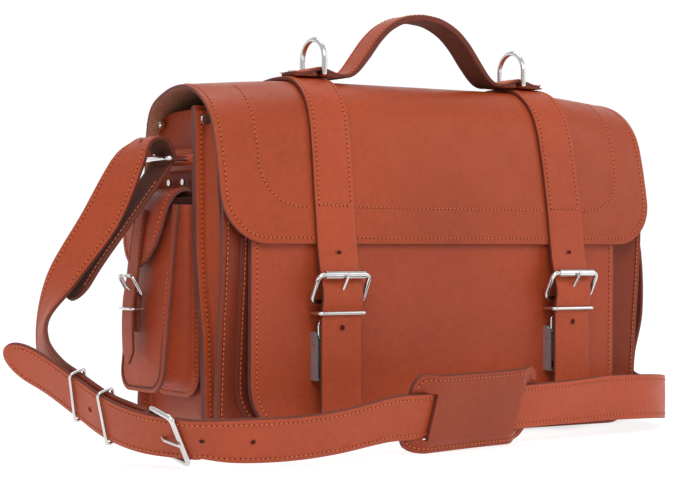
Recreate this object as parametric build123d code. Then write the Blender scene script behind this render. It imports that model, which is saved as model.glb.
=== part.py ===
from build123d import *
import os, math

os.makedirs("parts", exist_ok=True)

# ------------------------------------------------------------------ driving dimensions (mm)
# +X right, +Y to the back, +Z up; the origin is the middle of the divider's bottom edge.
BODY_W = 436.0        # width of back, divider and front panels
BODY_H = 268.0        # height of the gussets and the divider
T = 3.0               # thickness of panel leather
G = 2.2               # thickness of gusset leather
FL = 11.0             # gusset flange width, folded outwards and stitched to a panel
Y_BACK = 102.0        # outer face of the back panel
Y_FRONT = -29.0       # outer face of the front panel
Y_POCKET = -44.5      # outer face of the front pocket
POCKET_W = 376.0
POCKET_H = 172.0
FRONT_H = 238.0       # height of the front panel
R_CORNER = 28.0       # rounded lower corners
FLAP_W = 444.0
FLAP_CORNER = 40.0
STRAP_W = 38.0
STRAP_X = 120.0       # front straps, each side of the middle
STRAP_TIP_Z = 8.0
HINGE_Y, HINGE_Z = 100.5, 257.0
RING_X = 105.0        # top D-rings
HANDLE_Y = 7.0
HANDLE_W = 28.0
HANDLE_PEAK = 360.0
SIDE_Y = 54.0         # middle of the side pockets
SIDE_W = 68.0
SB_Y, SB_Z = 40.0, 231.0   # side buckles
STRAP_T = 3.2

HW = BODY_W / 2


# ------------------------------------------------------------------ helpers
def save(name, *solids):
    flat = []
    for s in solids:
        flat.extend(s.solids() if hasattr(s, "solids") else [s])
    shape = flat[0] if len(flat) == 1 else Compound(children=flat)
    export_step(shape, "parts/" + name + ".step")


def poly_face(pts):
    return make_face(Polyline(*pts, close=True))


def yz_prism(pts, x0, x1):
    """solid with a polygon section in the Y-Z plane, from x0 to x1"""
    f = make_face(Polyline(*[(x0, y, z) for y, z in pts], close=True))
    return Solid.extrude(f.face(), Vector(x1 - x0, 0, 0))


def xz_prism(pts, y0, y1):
    f = make_face(Polyline(*[(x, y0, z) for x, z in pts], close=True))
    return Solid.extrude(f.face(), Vector(0, y1 - y0, 0))


def arc_pts(cx, cz, r, a0, a1, n):
    return [(cx + r * math.cos(math.radians(a0 + (a1 - a0) * i / n)),
             cz + r * math.sin(math.radians(a0 + (a1 - a0) * i / n))) for i in range(n + 1)]


def u_outline(hw, z0, z1, r, n=8):
    """panel outline with rounded lower corners, X-Z plane"""
    return ([(hw, z1)] + [(hw, z0 + r)] + arc_pts(hw - r, z0 + r, r, 0, -90, n)[1:]
            + arc_pts(-hw + r, z0 + r, r, -90, -180, n) + [(-hw, z1)])


def panel(hw, z0, z1, r, y0, y1):
    return xz_prism(u_outline(hw, z0, z1, r), y0, y1)


def u_band(hw, z0, z1, r, width, y0, y1):
    """U-shaped band running down both sides and along the bottom"""
    outer = u_outline(hw, z0, z1, r)
    inner = u_outline(hw - width, z0 + width, z1, max(r - width, 3.0))
    return xz_prism(outer + list(reversed(inner)), y0, y1)


def gusset(hw, z0, z1, r, y_near, y_far):
    """channel gusset: web set in from the panel edges, flanges folded outwards"""
    web = u_band(hw - FL + G, z0 + FL - G, z1, r - FL + G, G, y_near, y_far)
    f1 = u_band(hw, z0, z1, r, FL, y_near, y_near + G)
    f2 = u_band(hw, z0, z1, r, FL, y_far - G, y_far)
    return web.fuse(f1, f2)


def catmull(pts, n):
    out = []
    k = len(pts)
    for i in range(k - 1):
        p0 = pts[max(i - 1, 0)]
        p1, p2 = pts[i], pts[i + 1]
        p3 = pts[min(i + 2, k - 1)]
        for j in range(n):
            t = j / n
            out.append(tuple(0.5 * ((2 * b) + (c - a) * t + (2 * a - 5 * b + 4 * c - d) * t * t
                                    + (3 * b - a - 3 * c + d) * t ** 3)
                             for a, b, c, d in zip(p0, p1, p2, p3)))
    out.append(tuple(pts[-1]))
    return out


def offset2(pts, d):
    """offset an open planar polyline by d to its left-hand normal"""
    out = []
    for i, (a, b) in enumerate(pts):
        a0, b0 = pts[max(i - 1, 0)]
        a1, b1 = pts[min(i + 1, len(pts) - 1)]
        ta, tb = a1 - a0, b1 - b0
        l = math.hypot(ta, tb)
        out.append((a - tb / l * d, b + ta / l * d))
    return out


def rod(p, q, r):
    v = Vector(*q) - Vector(*p)
    return Solid.make_cylinder(r, v.length, Plane(origin=p, z_dir=v))


def ball(p, r):
    return Pos(*p) * Sphere(r)


def wire_loop(w, h, rc, r, plane):
    """closed rounded-rectangle loop of round wire, w by h between centre lines"""
    path = (plane * RectangleRounded(w, h, rc)).face().outer_wire()
    start = path @ 0
    tan = path % 0
    sec = Plane(origin=start, z_dir=tan) * Circle(r)
    return sweep(sec, path=path)


def box(x0, x1, y0, y1, z0, z1):
    return Pos((x0 + x1) / 2, (y0 + y1) / 2, (z0 + z1) / 2) * Box(x1 - x0, y1 - y0, z1 - z0)


def unit(v):
    l = math.sqrt(sum(c * c for c in v))
    return tuple(c / l for c in v)


def ribbon(pts, wdirs, width, thick, n, off=0.0):
    """flat strap: ruled loft of rectangles along a path, with a width direction at each point"""
    rows = catmull([tuple(p) + tuple(w) for p, w in zip(pts, wdirs)], n)
    secs = []
    for i, r in enumerate(rows):
        a = rows[max(i - 1, 0)]
        b = rows[min(i + 1, len(rows) - 1)]
        t = unit(tuple(b[k] - a[k] for k in range(3)))
        w = unit(r[3:6])
        d = sum(w[k] * t[k] for k in range(3))
        w = unit(tuple(w[k] - d * t[k] for k in range(3)))
        nrm = (t[1] * w[2] - t[2] * w[1], t[2] * w[0] - t[0] * w[2], t[0] * w[1] - t[1] * w[0])
        o = tuple(r[k] + off * nrm[k] for k in range(3))
        secs.append(Plane(origin=o, x_dir=w, z_dir=t) * Rectangle(width, thick))
    return loft(secs, ruled=True)


def one(s):
    """largest solid of a boolean result"""
    return max(s.solids() if hasattr(s, "solids") else [s], key=lambda k: k.volume)


def mirrored(s):
    return one(s).mirror(Plane.YZ)


def pair(name, solid):
    """write the left piece and its mirror image as two separate solids of one node"""
    save(name, one(solid), mirrored(solid))


def both(name, solid):
    """write the left piece and its mirror image on the right"""
    solid = one(solid)
    save("left_" + name, solid)
    save("right_" + name, mirrored(solid))


# ------------------------------------------------------------------ body panels and gussets
save("back_panel", panel(HW, 0, 254.8, R_CORNER, Y_BACK - T, Y_BACK))
divider = panel(HW, 0, BODY_H, R_CORNER, -T / 2, T / 2)
save("divider_panel", divider)
rg = gusset(HW, 0, BODY_H, R_CORNER, T / 2, Y_BACK - T)
rg = rg.cut(box(-HW - 5, HW + 5, Y_BACK - T - 6, Y_BACK, 255.5, BODY_H + 5))
save("rear_gusset", rg)
fg = gusset(HW, 0, BODY_H, R_CORNER, Y_FRONT + T, -T / 2)
# the front gusset's top slopes down to the front panel
slope = yz_prism([(-T / 2 + 0.01, BODY_H + 5), (-T / 2 - 2.2, BODY_H), (Y_FRONT - 5, FRONT_H - 3), (Y_FRONT - 5, BODY_H + 5)],
                 -HW - 5, HW + 5)
save("front_gusset", fg.cut(slope))
front = panel(HW, 0, FRONT_H - 1, R_CORNER, Y_FRONT, Y_FRONT + T)
save("front_panel", front)

# front pocket: shallow channel gusset and pocket panel
PW = POCKET_W / 2
save("pocket_gusset", gusset(PW, 0, POCKET_H - 8, R_CORNER, Y_POCKET + T, Y_FRONT))
save("pocket_panel", panel(PW, 0, POCKET_H, R_CORNER, Y_POCKET, Y_POCKET + T))

# ------------------------------------------------------------------ flap with the two front straps
FLAP_CTRL = [(102, 257.4), (101, 266), (96, 277), (86, 286), (70, 292.5), (45, 296.5), (18, 298.5), (-5, 296),
             (-20, 287.5), (-31, 273), (-37.5, 254), (-41.5, 232), (-45.5, 205), (-48.5, 180), (-50.5, 162)]
outer = catmull(FLAP_CTRL, 3)
inner = offset2(outer, T)
flap = yz_prism(outer + list(reversed(inner)), -FLAP_W / 2, FLAP_W / 2)
for s in (-1, 1):
    cx = s * (FLAP_W / 2 - FLAP_CORNER)
    cz = 162 + FLAP_CORNER
    corner = [(cx, 155.0), (s * (FLAP_W / 2 + 5), 155.0), (s * (FLAP_W / 2 + 5), cz)]
    a1 = 0 if s > 0 else 180
    a0 = -90 if s > 0 else 270
    arc = arc_pts(cx, cz, FLAP_CORNER, a1, a0, 10)
    flap = flap.cut(xz_prism(corner + arc, -70, -20))
save("flap", flap)

i0 = 12
strap_in = outer[i0:] + [(-52.6, 150), (-55.3, 137), (-57, 122), (-57, 100), (-57, 60), (-57, STRAP_TIP_Z)]
strap_out = offset2(strap_in, -T)
strap = yz_prism(strap_in + list(reversed(strap_out)), -STRAP_X - STRAP_W / 2, -STRAP_X + STRAP_W / 2)
HOLES = (155.5, 96.5, 67.5)
for hz in HOLES:
    strap = strap.cut(rod((-STRAP_X, -70, hz), (-STRAP_X, -50, hz), 1.9))
slot = box(-STRAP_X - 1.9, -STRAP_X + 1.9, -70, -50, 115.6, 127.6)
strap = strap.cut(slot)
# rounded tip
rt = STRAP_W / 2
tipcut = [(-STRAP_X - rt - 2, STRAP_TIP_Z - 4), (-STRAP_X - rt - 2, STRAP_TIP_Z + 14)] + \
    [(-STRAP_X + rt * math.cos(math.radians(a)), STRAP_TIP_Z + 14 + 14 * math.sin(math.radians(a))) for a in range(180, 361, 15)] + \
    [(-STRAP_X + rt + 2, STRAP_TIP_Z + 14), (-STRAP_X + rt + 2, STRAP_TIP_Z - 4)]
strap = strap.cut(xz_prism(tipcut, -75, -50))
both("front_strap", strap)

# ------------------------------------------------------------------ roller buckles (left, mirrored right)
SX = -STRAP_X
HEEL = (-52.8, 115.5)
ROLL = (-64.6, 137.0)
vec = (ROLL[0] - HEEL[0], ROLL[1] - HEEL[1])
FH = math.hypot(*vec)
fr_plane = Plane(origin=(SX, (HEEL[0] + ROLL[0]) / 2, (HEEL[1] + ROLL[1]) / 2), x_dir=(1, 0, 0),
                 z_dir=Vector(1, 0, 0).cross(Vector(0, vec[0], vec[1])))
pair("buckle_frames", wire_loop(49.0, FH, 4.9, 2.0, fr_plane))
roller = rod((SX - 18.9, ROLL[0], ROLL[1]), (SX + 18.9, ROLL[0], ROLL[1]), 3.4).cut(
    rod((SX - 20, ROLL[0], ROLL[1]), (SX + 20, ROLL[0], ROLL[1]), 2.06))
both("buckle_roller", roller)


def prong_solid(c, pts, bar_r, width, r):
    """tongue: barrel round the heel bar and a bent rod; pts in the Y-Z plane, first point inside the barrel"""
    x = c[0]
    body = rod((x - width / 2, c[1], c[2]), (x + width / 2, c[1], c[2]), bar_r + 1.4)
    for a, b in zip(pts[:-1], pts[1:]):
        body = body.fuse(rod((x, a[0], a[1]), (x, b[0], b[1]), r))
    for p in pts[1:]:
        body = body.fuse(ball((x, p[0], p[1]), r))
    return body.cut(rod((x - width, c[1], c[2]), (x + width, c[1], c[2]), bar_r))


both("buckle_prong", prong_solid((SX, HEEL[0], HEEL[1]), [(-54.6, 117.6), (-62.6, 126.2), (-70.9, 137.2)], 2.06, 4.4, 1.3))

# leather tab on the buckle's heel bar, with the wire loop at its lower end
LOOP_Z0, LOOP_Z1, LOOP_Y = 86.0, 99.0, -52.0
tab = xz_prism([(SX - 13.4, LOOP_Z1), (SX + 13.4, LOOP_Z1), (SX + 16, HEEL[1]), (SX - 16, HEEL[1])], -55.2, -50.2)
tab = tab.fuse(rod((SX - 16, HEEL[0], HEEL[1]), (SX + 16, HEEL[0], HEEL[1]), 3.7))
tab = tab.fuse(rod((SX - 13.4, LOOP_Y, LOOP_Z1), (SX + 13.4, LOOP_Y, LOOP_Z1), 3.1))
tab = tab.cut(rod((SX - 30, HEEL[0], HEEL[1]), (SX + 30, HEEL[0], HEEL[1]), 2.02))
tab = tab.cut(rod((SX - 30, LOOP_Y, LOOP_Z1), (SX + 30, LOOP_Y, LOOP_Z1), 1.36))
tab = tab.cut(box(SX - 3.0, SX + 3.0, -60, -45, 110.5, 121))
pair("buckle_tabs", tab)
loop_plane = Plane(origin=(SX, LOOP_Y, (LOOP_Z0 + LOOP_Z1) / 2), x_dir=(1, 0, 0), z_dir=(0, -1, 0))
both("wire_loop", wire_loop(33.6, LOOP_Z1 - LOOP_Z0, 3.0, 1.3, loop_plane))
keep_plane = Plane(origin=(SX, -54.75, 106.2), x_dir=(1, 0, 0), z_dir=(0, 0, 1))
pair("front_keepers", wire_loop(43.4, 14.9, 2.8, 1.6, keep_plane))

# ------------------------------------------------------------------ lever clips on the pocket
cb = box(SX - 20, SX + 20, -46.4, Y_POCKET, 52, 91)
for s in (-1, 1):
    wall = [(-46.4, 52), (-54.4, 52), (-54.4, 86), (-50.5, 91), (-46.4, 91)]
    cb = cb.fuse(yz_prism(wall, SX + s * 20 - (0 if s < 0 else 1.2), SX + s * 20 + (1.2 if s < 0 else 0)))
cb = cb.fuse(box(SX - 20, SX + 20, -54.4, -46.4, 52, 53.2))
PIN = (-49.5, 80.0)
cb = cb.cut(rod((SX - 25, PIN[0], PIN[1]), (SX + 25, PIN[0], PIN[1]), 1.2))
both("clip_body", cb)
pair("clip_pins", rod((SX - 19.99, PIN[0], PIN[1]), (SX + 19.99, PIN[0], PIN[1]), 1.2))
lv = box(SX - 17.6, SX + 17.6, -50.3, -48.9, 60, 87.0)
lv = lv.fuse(rod((SX - 17.6, PIN[0], PIN[1]), (SX + 17.6, PIN[0], PIN[1]), 2.4))
lv = lv.fuse(box(SX - 15.0, SX + 15.0, -51.5, -48.9, 87.9, 89.0))
lv = lv.fuse(box(SX - 15.0, SX + 15.0, -50.3, -48.9, 86.0, 89.0))
for k in range(-2, 3):
    lv = lv.fuse(box(SX + k * 6 - 0.9, SX + k * 6 + 0.9, -51.0, -50.2, 62, 76))
lv = lv.cut(rod((SX - 25, PIN[0], PIN[1]), (SX + 25, PIN[0], PIN[1]), 1.26))
both("clip_lever", lv)
riv = []
for sx in (-STRAP_X, STRAP_X):
    for dx in (-11, 11):
        riv.append(rod((sx + dx, -47.2, 57), (sx + dx, -46.4, 57), 2.4))
save("clip_rivets", *riv)

# ------------------------------------------------------------------ carry handle and top D-rings
BAR_Z, BAR_R = 304.1, 2.3
top = [(-131, 305.0), (-122, 305.1), (-112, 307.9), (-105, 309.6), (-98, 307.9), (-88, 305.0), (-78, 305.4), (-70, 311.0),
       (-60, 323.5), (-48, 338.5), (-35, 349.8), (-18, 357.6), (0, HANDLE_PEAK)]
half = catmull(top, 2)
full = half + [(-x, z) for x, z in reversed(half[:-1])]
thk = []
for x, z in full:
    ax = abs(x)
    thk.append(3.0 if ax > 84 else (5.4 if ax < 60 else 3.0 + 2.4 * (84 - ax) / 24))
low = offset2(full, -1.0)
low = [(full[i][0] + (low[i][0] - full[i][0]) * thk[i], full[i][1] + (low[i][1] - full[i][1]) * thk[i]) for i in range(len(full))]
handle = xz_prism(full + list(reversed(low)), HANDLE_Y - HANDLE_W / 2, HANDLE_Y + HANDLE_W / 2)
for s in (-1, 1):
    pad_pts = [(s * 127, 302.0), (s * 88, 302.0), (s * 90, 303.4), (s * 98, 305.6), (s * 105, 308.2), (s * 112, 305.6), (s * 121, 302.9)]
    handle = handle.fuse(xz_prism(pad_pts, HANDLE_Y - HANDLE_W / 2, HANDLE_Y + HANDLE_W / 2))
    handle = handle.cut(rod((s * RING_X, -40, BAR_Z), (s * RING_X, 60, BAR_Z), BAR_R + 0.06))
save("carry_handle", handle)

ring_w = 34.6
rx, rh = -RING_X, ring_w / 2
ring = rod((rx, HANDLE_Y - rh, BAR_Z), (rx, HANDLE_Y + rh, BAR_Z), BAR_R)
for sy in (-1, 1):
    ring = ring.fuse(ball((rx, HANDLE_Y + sy * rh, BAR_Z), BAR_R))
    ring = ring.fuse(rod((rx, HANDLE_Y + sy * rh, BAR_Z), (rx, HANDLE_Y + sy * rh, BAR_Z + 12), BAR_R))
bow = revolve(Plane(origin=(rx, HANDLE_Y + rh, BAR_Z + 12), z_dir=(0, 0, 1)) * Circle(BAR_R),
              axis=Axis((rx, HANDLE_Y, BAR_Z + 12), (1, 0, 0)), revolution_arc=180)
ring = one(ring.fuse(one(bow)))
both("top_ring", ring)
hr = []
for s in (-1, 1):
    hr.append(rod((s * 90.5, HANDLE_Y, 304.5), (s * 90.5, HANDLE_Y, 306.3), 3.2))
    hr.append(rod((s * 126.5, HANDLE_Y, 304.6), (s * 126.5, HANDLE_Y, 306.4), 3.2))
hr = [h.cut(handle) for h in hr]
save("handle_rivets", *hr)

# ------------------------------------------------------------------ press studs of the gusset tops
caps, socks = [], []
for s in (-1, 1):
    caps.append(rod((s * 213.8, -T / 2 - G - 2.0, 262), (s * 213.8, -T / 2 - G, 262), 4.4))
    sx = HW - FL + G
    socks.append(rod((s * sx, 81, 262.5), (s * (sx + 1.8), 81, 262.5), 4.2)
                 .cut(rod((s * (sx + 0.4), 81, 262.5), (s * (sx + 3), 81, 262.5), 2.3)))
    caps[-1] = caps[-1].intersect(box(-HW, HW, -20, 0, 240, 270))
save("gusset_stud_caps", *caps)
save("gusset_stud_sockets", *socks)

# ------------------------------------------------------------------ side pockets
WX = HW - FL + G      # outer face of the side wall's web
y0, y1 = SIDE_Y - SIDE_W / 2, SIDE_Y + SIDE_W / 2
SP_Z0, SP_Z1 = 44.0, 196.0
D0, D1 = 34.0, 20.0   # depth of the side pocket at its bottom and its top


def side_outline(z0, z1, hw, r, n=6):
    return ([(SIDE_Y + hw, z1)] + arc_pts(SIDE_Y + hw - r, z0 + r, r, 0, -90, n)
            + arc_pts(SIDE_Y - hw + r, z0 + r, r, -90, -180, n) + [(SIDE_Y - hw, z1)])


def yz_tapered(pts, depth_in, depth_out_low, depth_out_high):
    """prism from the wall outwards, cut by the leaning outer plane"""
    s = yz_prism(pts, -WX - 60, -WX - depth_in)
    keep = xz_prism([(-WX - depth_in, 20), (-WX - depth_out_low - 0, SP_Z0), (-WX - depth_out_high, SP_Z1), (-WX - depth_out_high, 230),
                     (-WX - depth_in, 230)], -20, 130)
    return s.intersect(keep)


keepers_z = (20,)
shell_o = side_outline(SP_Z0, SP_Z1, SIDE_W / 2, 16)
shell_i = side_outline(SP_Z0 + G, SP_Z1 + 1, SIDE_W / 2 - G, 16 - G)
low_x = -WX - D0
lean = (D0 - D1) / (SP_Z1 - SP_Z0)


def lean_x(z, extra=0.0):
    return -WX - (D0 - lean * (z - SP_Z0)) - extra


# gusset of the side pocket: U-shaped wall, flange on the side wall and flange behind the panel
wall = yz_prism(shell_o, -WX - 60, -WX).cut(yz_prism(shell_i, -WX - 61, -WX + 1))
outside = xz_prism([(lean_x(20), 20), (lean_x(230), 230), (-WX - 80, 230), (-WX - 80, 20)], -20, 130)
wall = wall.cut(outside)
fl_o = side_outline(SP_Z0 - 8, SP_Z1 - 4, SIDE_W / 2 + 8, 22)
fl_i = side_outline(SP_Z0 + G, SP_Z1 + 1, SIDE_W / 2 - G, 16 - G)
flange = yz_prism(fl_o, -WX - G, -WX).cut(yz_prism(fl_i, -WX - 5, -WX + 2))
flange = flange.cut(box(-WX - 10, -WX + 5, Y_BACK - T - G - 0.1, 140, 0, 300)).cut(box(-WX - 10, -WX + 5, -20, T / 2 + G + 0.1, 0, 300))
side_gusset = wall.fuse(flange)
both("pocket_wall", side_gusset)
pp_o = side_outline(SP_Z0 - 3, SP_Z1 - 2, SIDE_W / 2 + 3.5, 19)
pp = yz_prism(pp_o, -WX - 80, -WX)
slab = xz_prism([(lean_x(20), 20), (lean_x(230), 230), (lean_x(230, T), 230), (lean_x(20, T), 20)], -20, 130)
both("side_panel", pp.intersect(slab))

# side pocket flap: hinged on the side wall, arching out and down over the pocket
sf_ctrl = [(-WX - 0.3, 204.5), (-WX - 8, 207.5), (-WX - 17, 206.5), (-WX - 25, 201), (-WX - 30, 191), (-WX - 33, 176), (-WX - 35, 160),
           (-WX - 36.5, 143.5)]
sf_out = catmull(sf_ctrl, 3)
sf_in = offset2(sf_out, T * 0.9)
sflap = xz_prism(sf_out + list(reversed(sf_in)), SIDE_Y - 36, SIDE_Y + 36)
# narrow towards the rounded tip
tipz, hz = 143.0, 205.0
for s in (-1, 1):
    cutp = [(SIDE_Y + s * 36.1, 192), (SIDE_Y + s * 33, 176), (SIDE_Y + s * 27, 160), (SIDE_Y + s * 18, 149), (SIDE_Y + s * 8, 144), (SIDE_Y, 142.8),
            (SIDE_Y, 130), (SIDE_Y + s * 45, 130), (SIDE_Y + s * 45, 192)]
    sflap = sflap.cut(yz_prism(cutp, -WX - 60, -WX - 10))
both("side_flap", sflap)

# narrow strap stitched on the side flap, small buckle, keeper, and its return tab
ss_in = [(x, z) for x, z in sf_out if z < 192] + [(-WX - 41, 128), (-WX - 43.5, 112), (-WX - 44, 92), (-WX - 43, 64)]
ss_out = offset2(ss_in, -2.2)
sstrap = xz_prism(ss_in + list(reversed(ss_out)), SIDE_Y - 9.5, SIDE_Y + 9.5)
tip2 = [(SIDE_Y - 12, 60), (SIDE_Y - 12, 78), (SIDE_Y - 9.5, 78), (SIDE_Y - 6, 68), (SIDE_Y, 64.2), (SIDE_Y + 6, 68), (SIDE_Y + 9.5, 78),
        (SIDE_Y + 12, 78), (SIDE_Y + 12, 60)]
sstrap = sstrap.cut(yz_prism(tip2, -WX - 60, -WX - 30))
sb_slot = box(-WX - 60, -WX - 30, SIDE_Y - 1.6, SIDE_Y + 1.6, 118.0, 130.6)
sstrap = sstrap.cut(sb_slot)
for hz2 in (141.0, 108.0, 92.0):
    sstrap = sstrap.cut(rod((-WX - 60, SIDE_Y, hz2), (-WX - 30, SIDE_Y, hz2), 1.4))
both("side_strap", sstrap)
SH = (-WX - 38.2, 120.0)     # heel bar of the small buckle
SR = (-WX - 47.6, 136.0)     # end bar
v2 = (SR[0] - SH[0], SR[1] - SH[1])
sb_plane = Plane(origin=((SH[0] + SR[0]) / 2, SIDE_Y, (SH[1] + SR[1]) / 2), x_dir=(0, 1, 0),
                 z_dir=Vector(0, 1, 0).cross(Vector(v2[0], 0, v2[1])))
both("side_buckle", wire_loop(25.6, math.hypot(*v2), 3.4, 1.4, sb_plane))
sp = rod((SH[0], SIDE_Y - 1.8, SH[1]), (SH[0], SIDE_Y + 1.8, SH[1]), 2.6)
sp_pts = [(-WX - 39.4, 121.6), (-WX - 46.6, 127.6), (-WX - 51.6, 136.4)]
for a, b in zip(sp_pts[:-1], sp_pts[1:]):
    sp = sp.fuse(rod((a[0], SIDE_Y, a[1]), (b[0], SIDE_Y, b[1]), 1.0))
for p in sp_pts[1:]:
    sp = sp.fuse(ball((p[0], SIDE_Y, p[1]), 1.0))
sp = sp.cut(rod((SH[0], SIDE_Y - 5, SH[1]), (SH[0], SIDE_Y + 5, SH[1]), 1.46))
both("side_prong", sp)
stab = xz_prism([(SH[0] - 1.0, SH[1] + 0.5), (SH[0] + 1.6, SH[1] + 0.5), (-WX - 37.4, 92), (-WX - 40.0, 92)], SIDE_Y - 8, SIDE_Y + 8)
stab = stab.fuse(rod((SH[0], SIDE_Y - 8, SH[1]), (SH[0], SIDE_Y + 8, SH[1]), 2.9))
stab = stab.cut(rod((SH[0], SIDE_Y - 20, SH[1]), (SH[0], SIDE_Y + 20, SH[1]), 1.42))
stab = stab.cut(box(-WX - 45, -WX - 30, SIDE_Y - 2.2, SIDE_Y + 2.2, 116, 125))
both("side_tab", stab)
sk_plane = Plane(origin=(-WX - 41.2, SIDE_Y, 109.0), x_dir=(0, 1, 0), z_dir=(0, 0, 1))
both("side_keeper", wire_loop(22.6, 12.8, 2.0, 1.1, sk_plane))
srv = []
for s in (-1, 1):
    for dy in (-12, 12):
        srv.append(rod((s * WX, SIDE_Y + dy, 213), (s * (WX + 1.6), SIDE_Y + dy, 213), 2.6))
save("side_rivets", *srv)

# ------------------------------------------------------------------ side tabs and side buckles for the shoulder strap
BX0, BX1 = -WX - 6.0, -WX - 28.0
tabp = xz_prism([(-WX, 221.5), (-WX - 2.6, 221.5), (-WX - 2.6, 240.5), (-WX, 240.5)], 8, 74)
tabp = tabp.fuse(rod((BX0, SB_Y - 17, SB_Z), (BX0, SB_Y + 17, SB_Z), 4.2))
tabp = tabp.cut(box(-WX, -WX + 10, 0, 100, 200, 260))
tabp = tabp.cut(rod((BX0, -10, SB_Z), (BX0, 110, SB_Z), 2.03))
tabp = tabp.cut(box(-WX - 12, -WX - 2.3, SB_Y - 2.7, SB_Y + 2.7, 215, 245))
pair("ring_tabs", tabp)
bk_plane = Plane(origin=((BX0 + BX1) / 2, SB_Y, SB_Z), x_dir=(0, 1, 0), z_dir=(0, 0, 1))
pair("ring_buckles", wire_loop(45.0, BX0 - BX1, 3.5, 2.0, bk_plane))
bp = rod((BX0, SB_Y - 2.1, SB_Z), (BX0, SB_Y + 2.1, SB_Z), 3.4)
bp_pts = [(BX0 - 2.2, SB_Z + 1.2), (BX0 - 10, SB_Z + 4.2), (BX1, SB_Z + 3.6)]
for a, b in zip(bp_pts[:-1], bp_pts[1:]):
    bp = bp.fuse(rod((a[0], SB_Y, a[1]), (b[0], SB_Y, b[1]), 1.3))
for p in bp_pts[1:]:
    bp = bp.fuse(ball((p[0], SB_Y, p[1]), 1.3))
bp = bp.cut(rod((BX0, SB_Y - 6, SB_Z), (BX0, SB_Y + 6, SB_Z), 2.06))
both("ring_prong", bp)

# ------------------------------------------------------------------ shoulder strap
def frames(pts, wdirs, n):
    """points, tangents, width and outward directions along a strap"""
    rows = catmull([tuple(p) + tuple(w) for p, w in zip(pts, wdirs)], n)
    out = []
    for i, r in enumerate(rows):
        a = rows[max(i - 1, 0)]
        b = rows[min(i + 1, len(rows) - 1)]
        t = unit(tuple(b[k] - a[k] for k in range(3)))
        w = unit(r[3:6])
        d = sum(w[k] * t[k] for k in range(3))
        w = unit(tuple(w[k] - d * t[k] for k in range(3)))
        out.append((Vector(*r[:3]), Vector(*t), Vector(*w), Vector(*t).cross(Vector(*w))))
    return out


# long strap: tip, through the strap buckle, along the floor past the pad, round the right side,
# up to the right side buckle, over its bar and down as a tail
B_PTS = [(-369, 38, 77), (-352, 8, 64), (-339, -29, 46), (-334, -70, 32.8), (-325, -108, 25.2), (-309, -143, 22.4), (-299, -155.5, 22.2), (-274, -164, 20.6), (-232, -166, 20.0),
         (-190, -165, 22.8), (-142, -159.7, 29.0), (-114, -156, 29.5), (-63, -149.3, 30.3), (-12, -142.7, 31.2), (39, -136, 32), (72, -131, 32.5), (101, -126.5, 33), (139, -120, 32),
         (170, -110, 30.5), (196, -93, 28), (214, -68, 25.5), (227, -38, 23.5), (238, -6, 24.5), (252, 22, 31), (265, 42, 55), (276, 47, 98), (271.5, 45.5, 156),
         (259, 42, 208), (250, 40.5, 237), (240.5, 40, 247.5), (232.5, 40, 243), (229.5, 40, 230), (240, 40.5, 205), (256, 43, 173), (264, 46, 143)]
B_W = [(-.26, -.6, .76), (-.26, -.6, .76), (-.26, -.57, .78), (-.27, -.53, .8), (-.29, -.56, .78), (-.3, -.6, .75), (-.27, -.57, .78), (-.17, -.48, .86), (-.1, -.45, .87),
       (-.05, -.42, .9), (0, -.35, .93), (0, -.34, .93), (0, -.33, .94), (0, -.32, .95), (0, -.3, .95), (0, -.2, .97), (0, -.1, .99), (0, -.05, 1),
       (0, 0, 1), (0, 0, 1), (0, 0, 1), (0, 0, 1), (0, -.25, .96), (0, -.7, .7), (0, -.95, .3), (0, -1, .1), (0, -1, 0),
       (0, -1, 0), (0, -1, 0), (0, -1, 0), (0, -1, 0), (0, -1, 0), (0, -1, 0), (0, -1, 0), (0, -1, 0)]
NB = 2
FR = frames(B_PTS, B_W, NB)
k1, k2, kb = FR[2 * NB], FR[3 * NB], FR[4 * NB]
E, ET, EW, EN = FR[5 * NB]          # where the long strap passes under the buckle's end bar
bt = -ET                            # from the end bar towards the heel bar
ax_end = E + EN * 4.1
ax_heel = E + bt * 24 - EN * 5.5


def at(tt, nn):
    return tuple(E + bt * tt + EN * nn)


sfv = ax_heel - ax_end
sf_plane = Plane(origin=tuple((ax_heel + ax_end) * 0.5), x_dir=tuple(EW), z_dir=tuple(EW.cross(sfv)))
save("strap_buckle", wire_loop(43.6, sfv.length, 4.5, 2.1, sf_plane))
c0 = ax_heel
bpr = rod(tuple(c0 - EW * 2.1), tuple(c0 + EW * 2.1), 3.5)
pp3 = [at(22.4, -3.4), at(14.0, 3.9), at(-0.8, 7.9)]
for a, b in zip(pp3[:-1], pp3[1:]):
    bpr = bpr.fuse(rod(a, b, 1.3))
for p in pp3[1:]:
    bpr = bpr.fuse(ball(p, 1.3))
bpr = bpr.cut(rod(tuple(c0 - EW * 8), tuple(c0 + EW * 8), 2.16))
save("strap_prong", bpr)
slot_pl = Plane(origin=at(18.8, 0), x_dir=tuple(bt), z_dir=tuple(EN))
slot_cut = extrude(slot_pl * Rectangle(19.0, 5.4), amount=4, both=True)
long_strap = ribbon(B_PTS, B_W, STRAP_W, STRAP_T, NB).cut(one(slot_cut))
tail_cut = box(-240, -225.5, SB_Y - 2.0, SB_Y + 2.0, 230.0, 239.2)
long_strap = long_strap.cut(tail_cut.mirror(Plane.YZ))
save("strap_long", one(long_strap))

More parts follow.
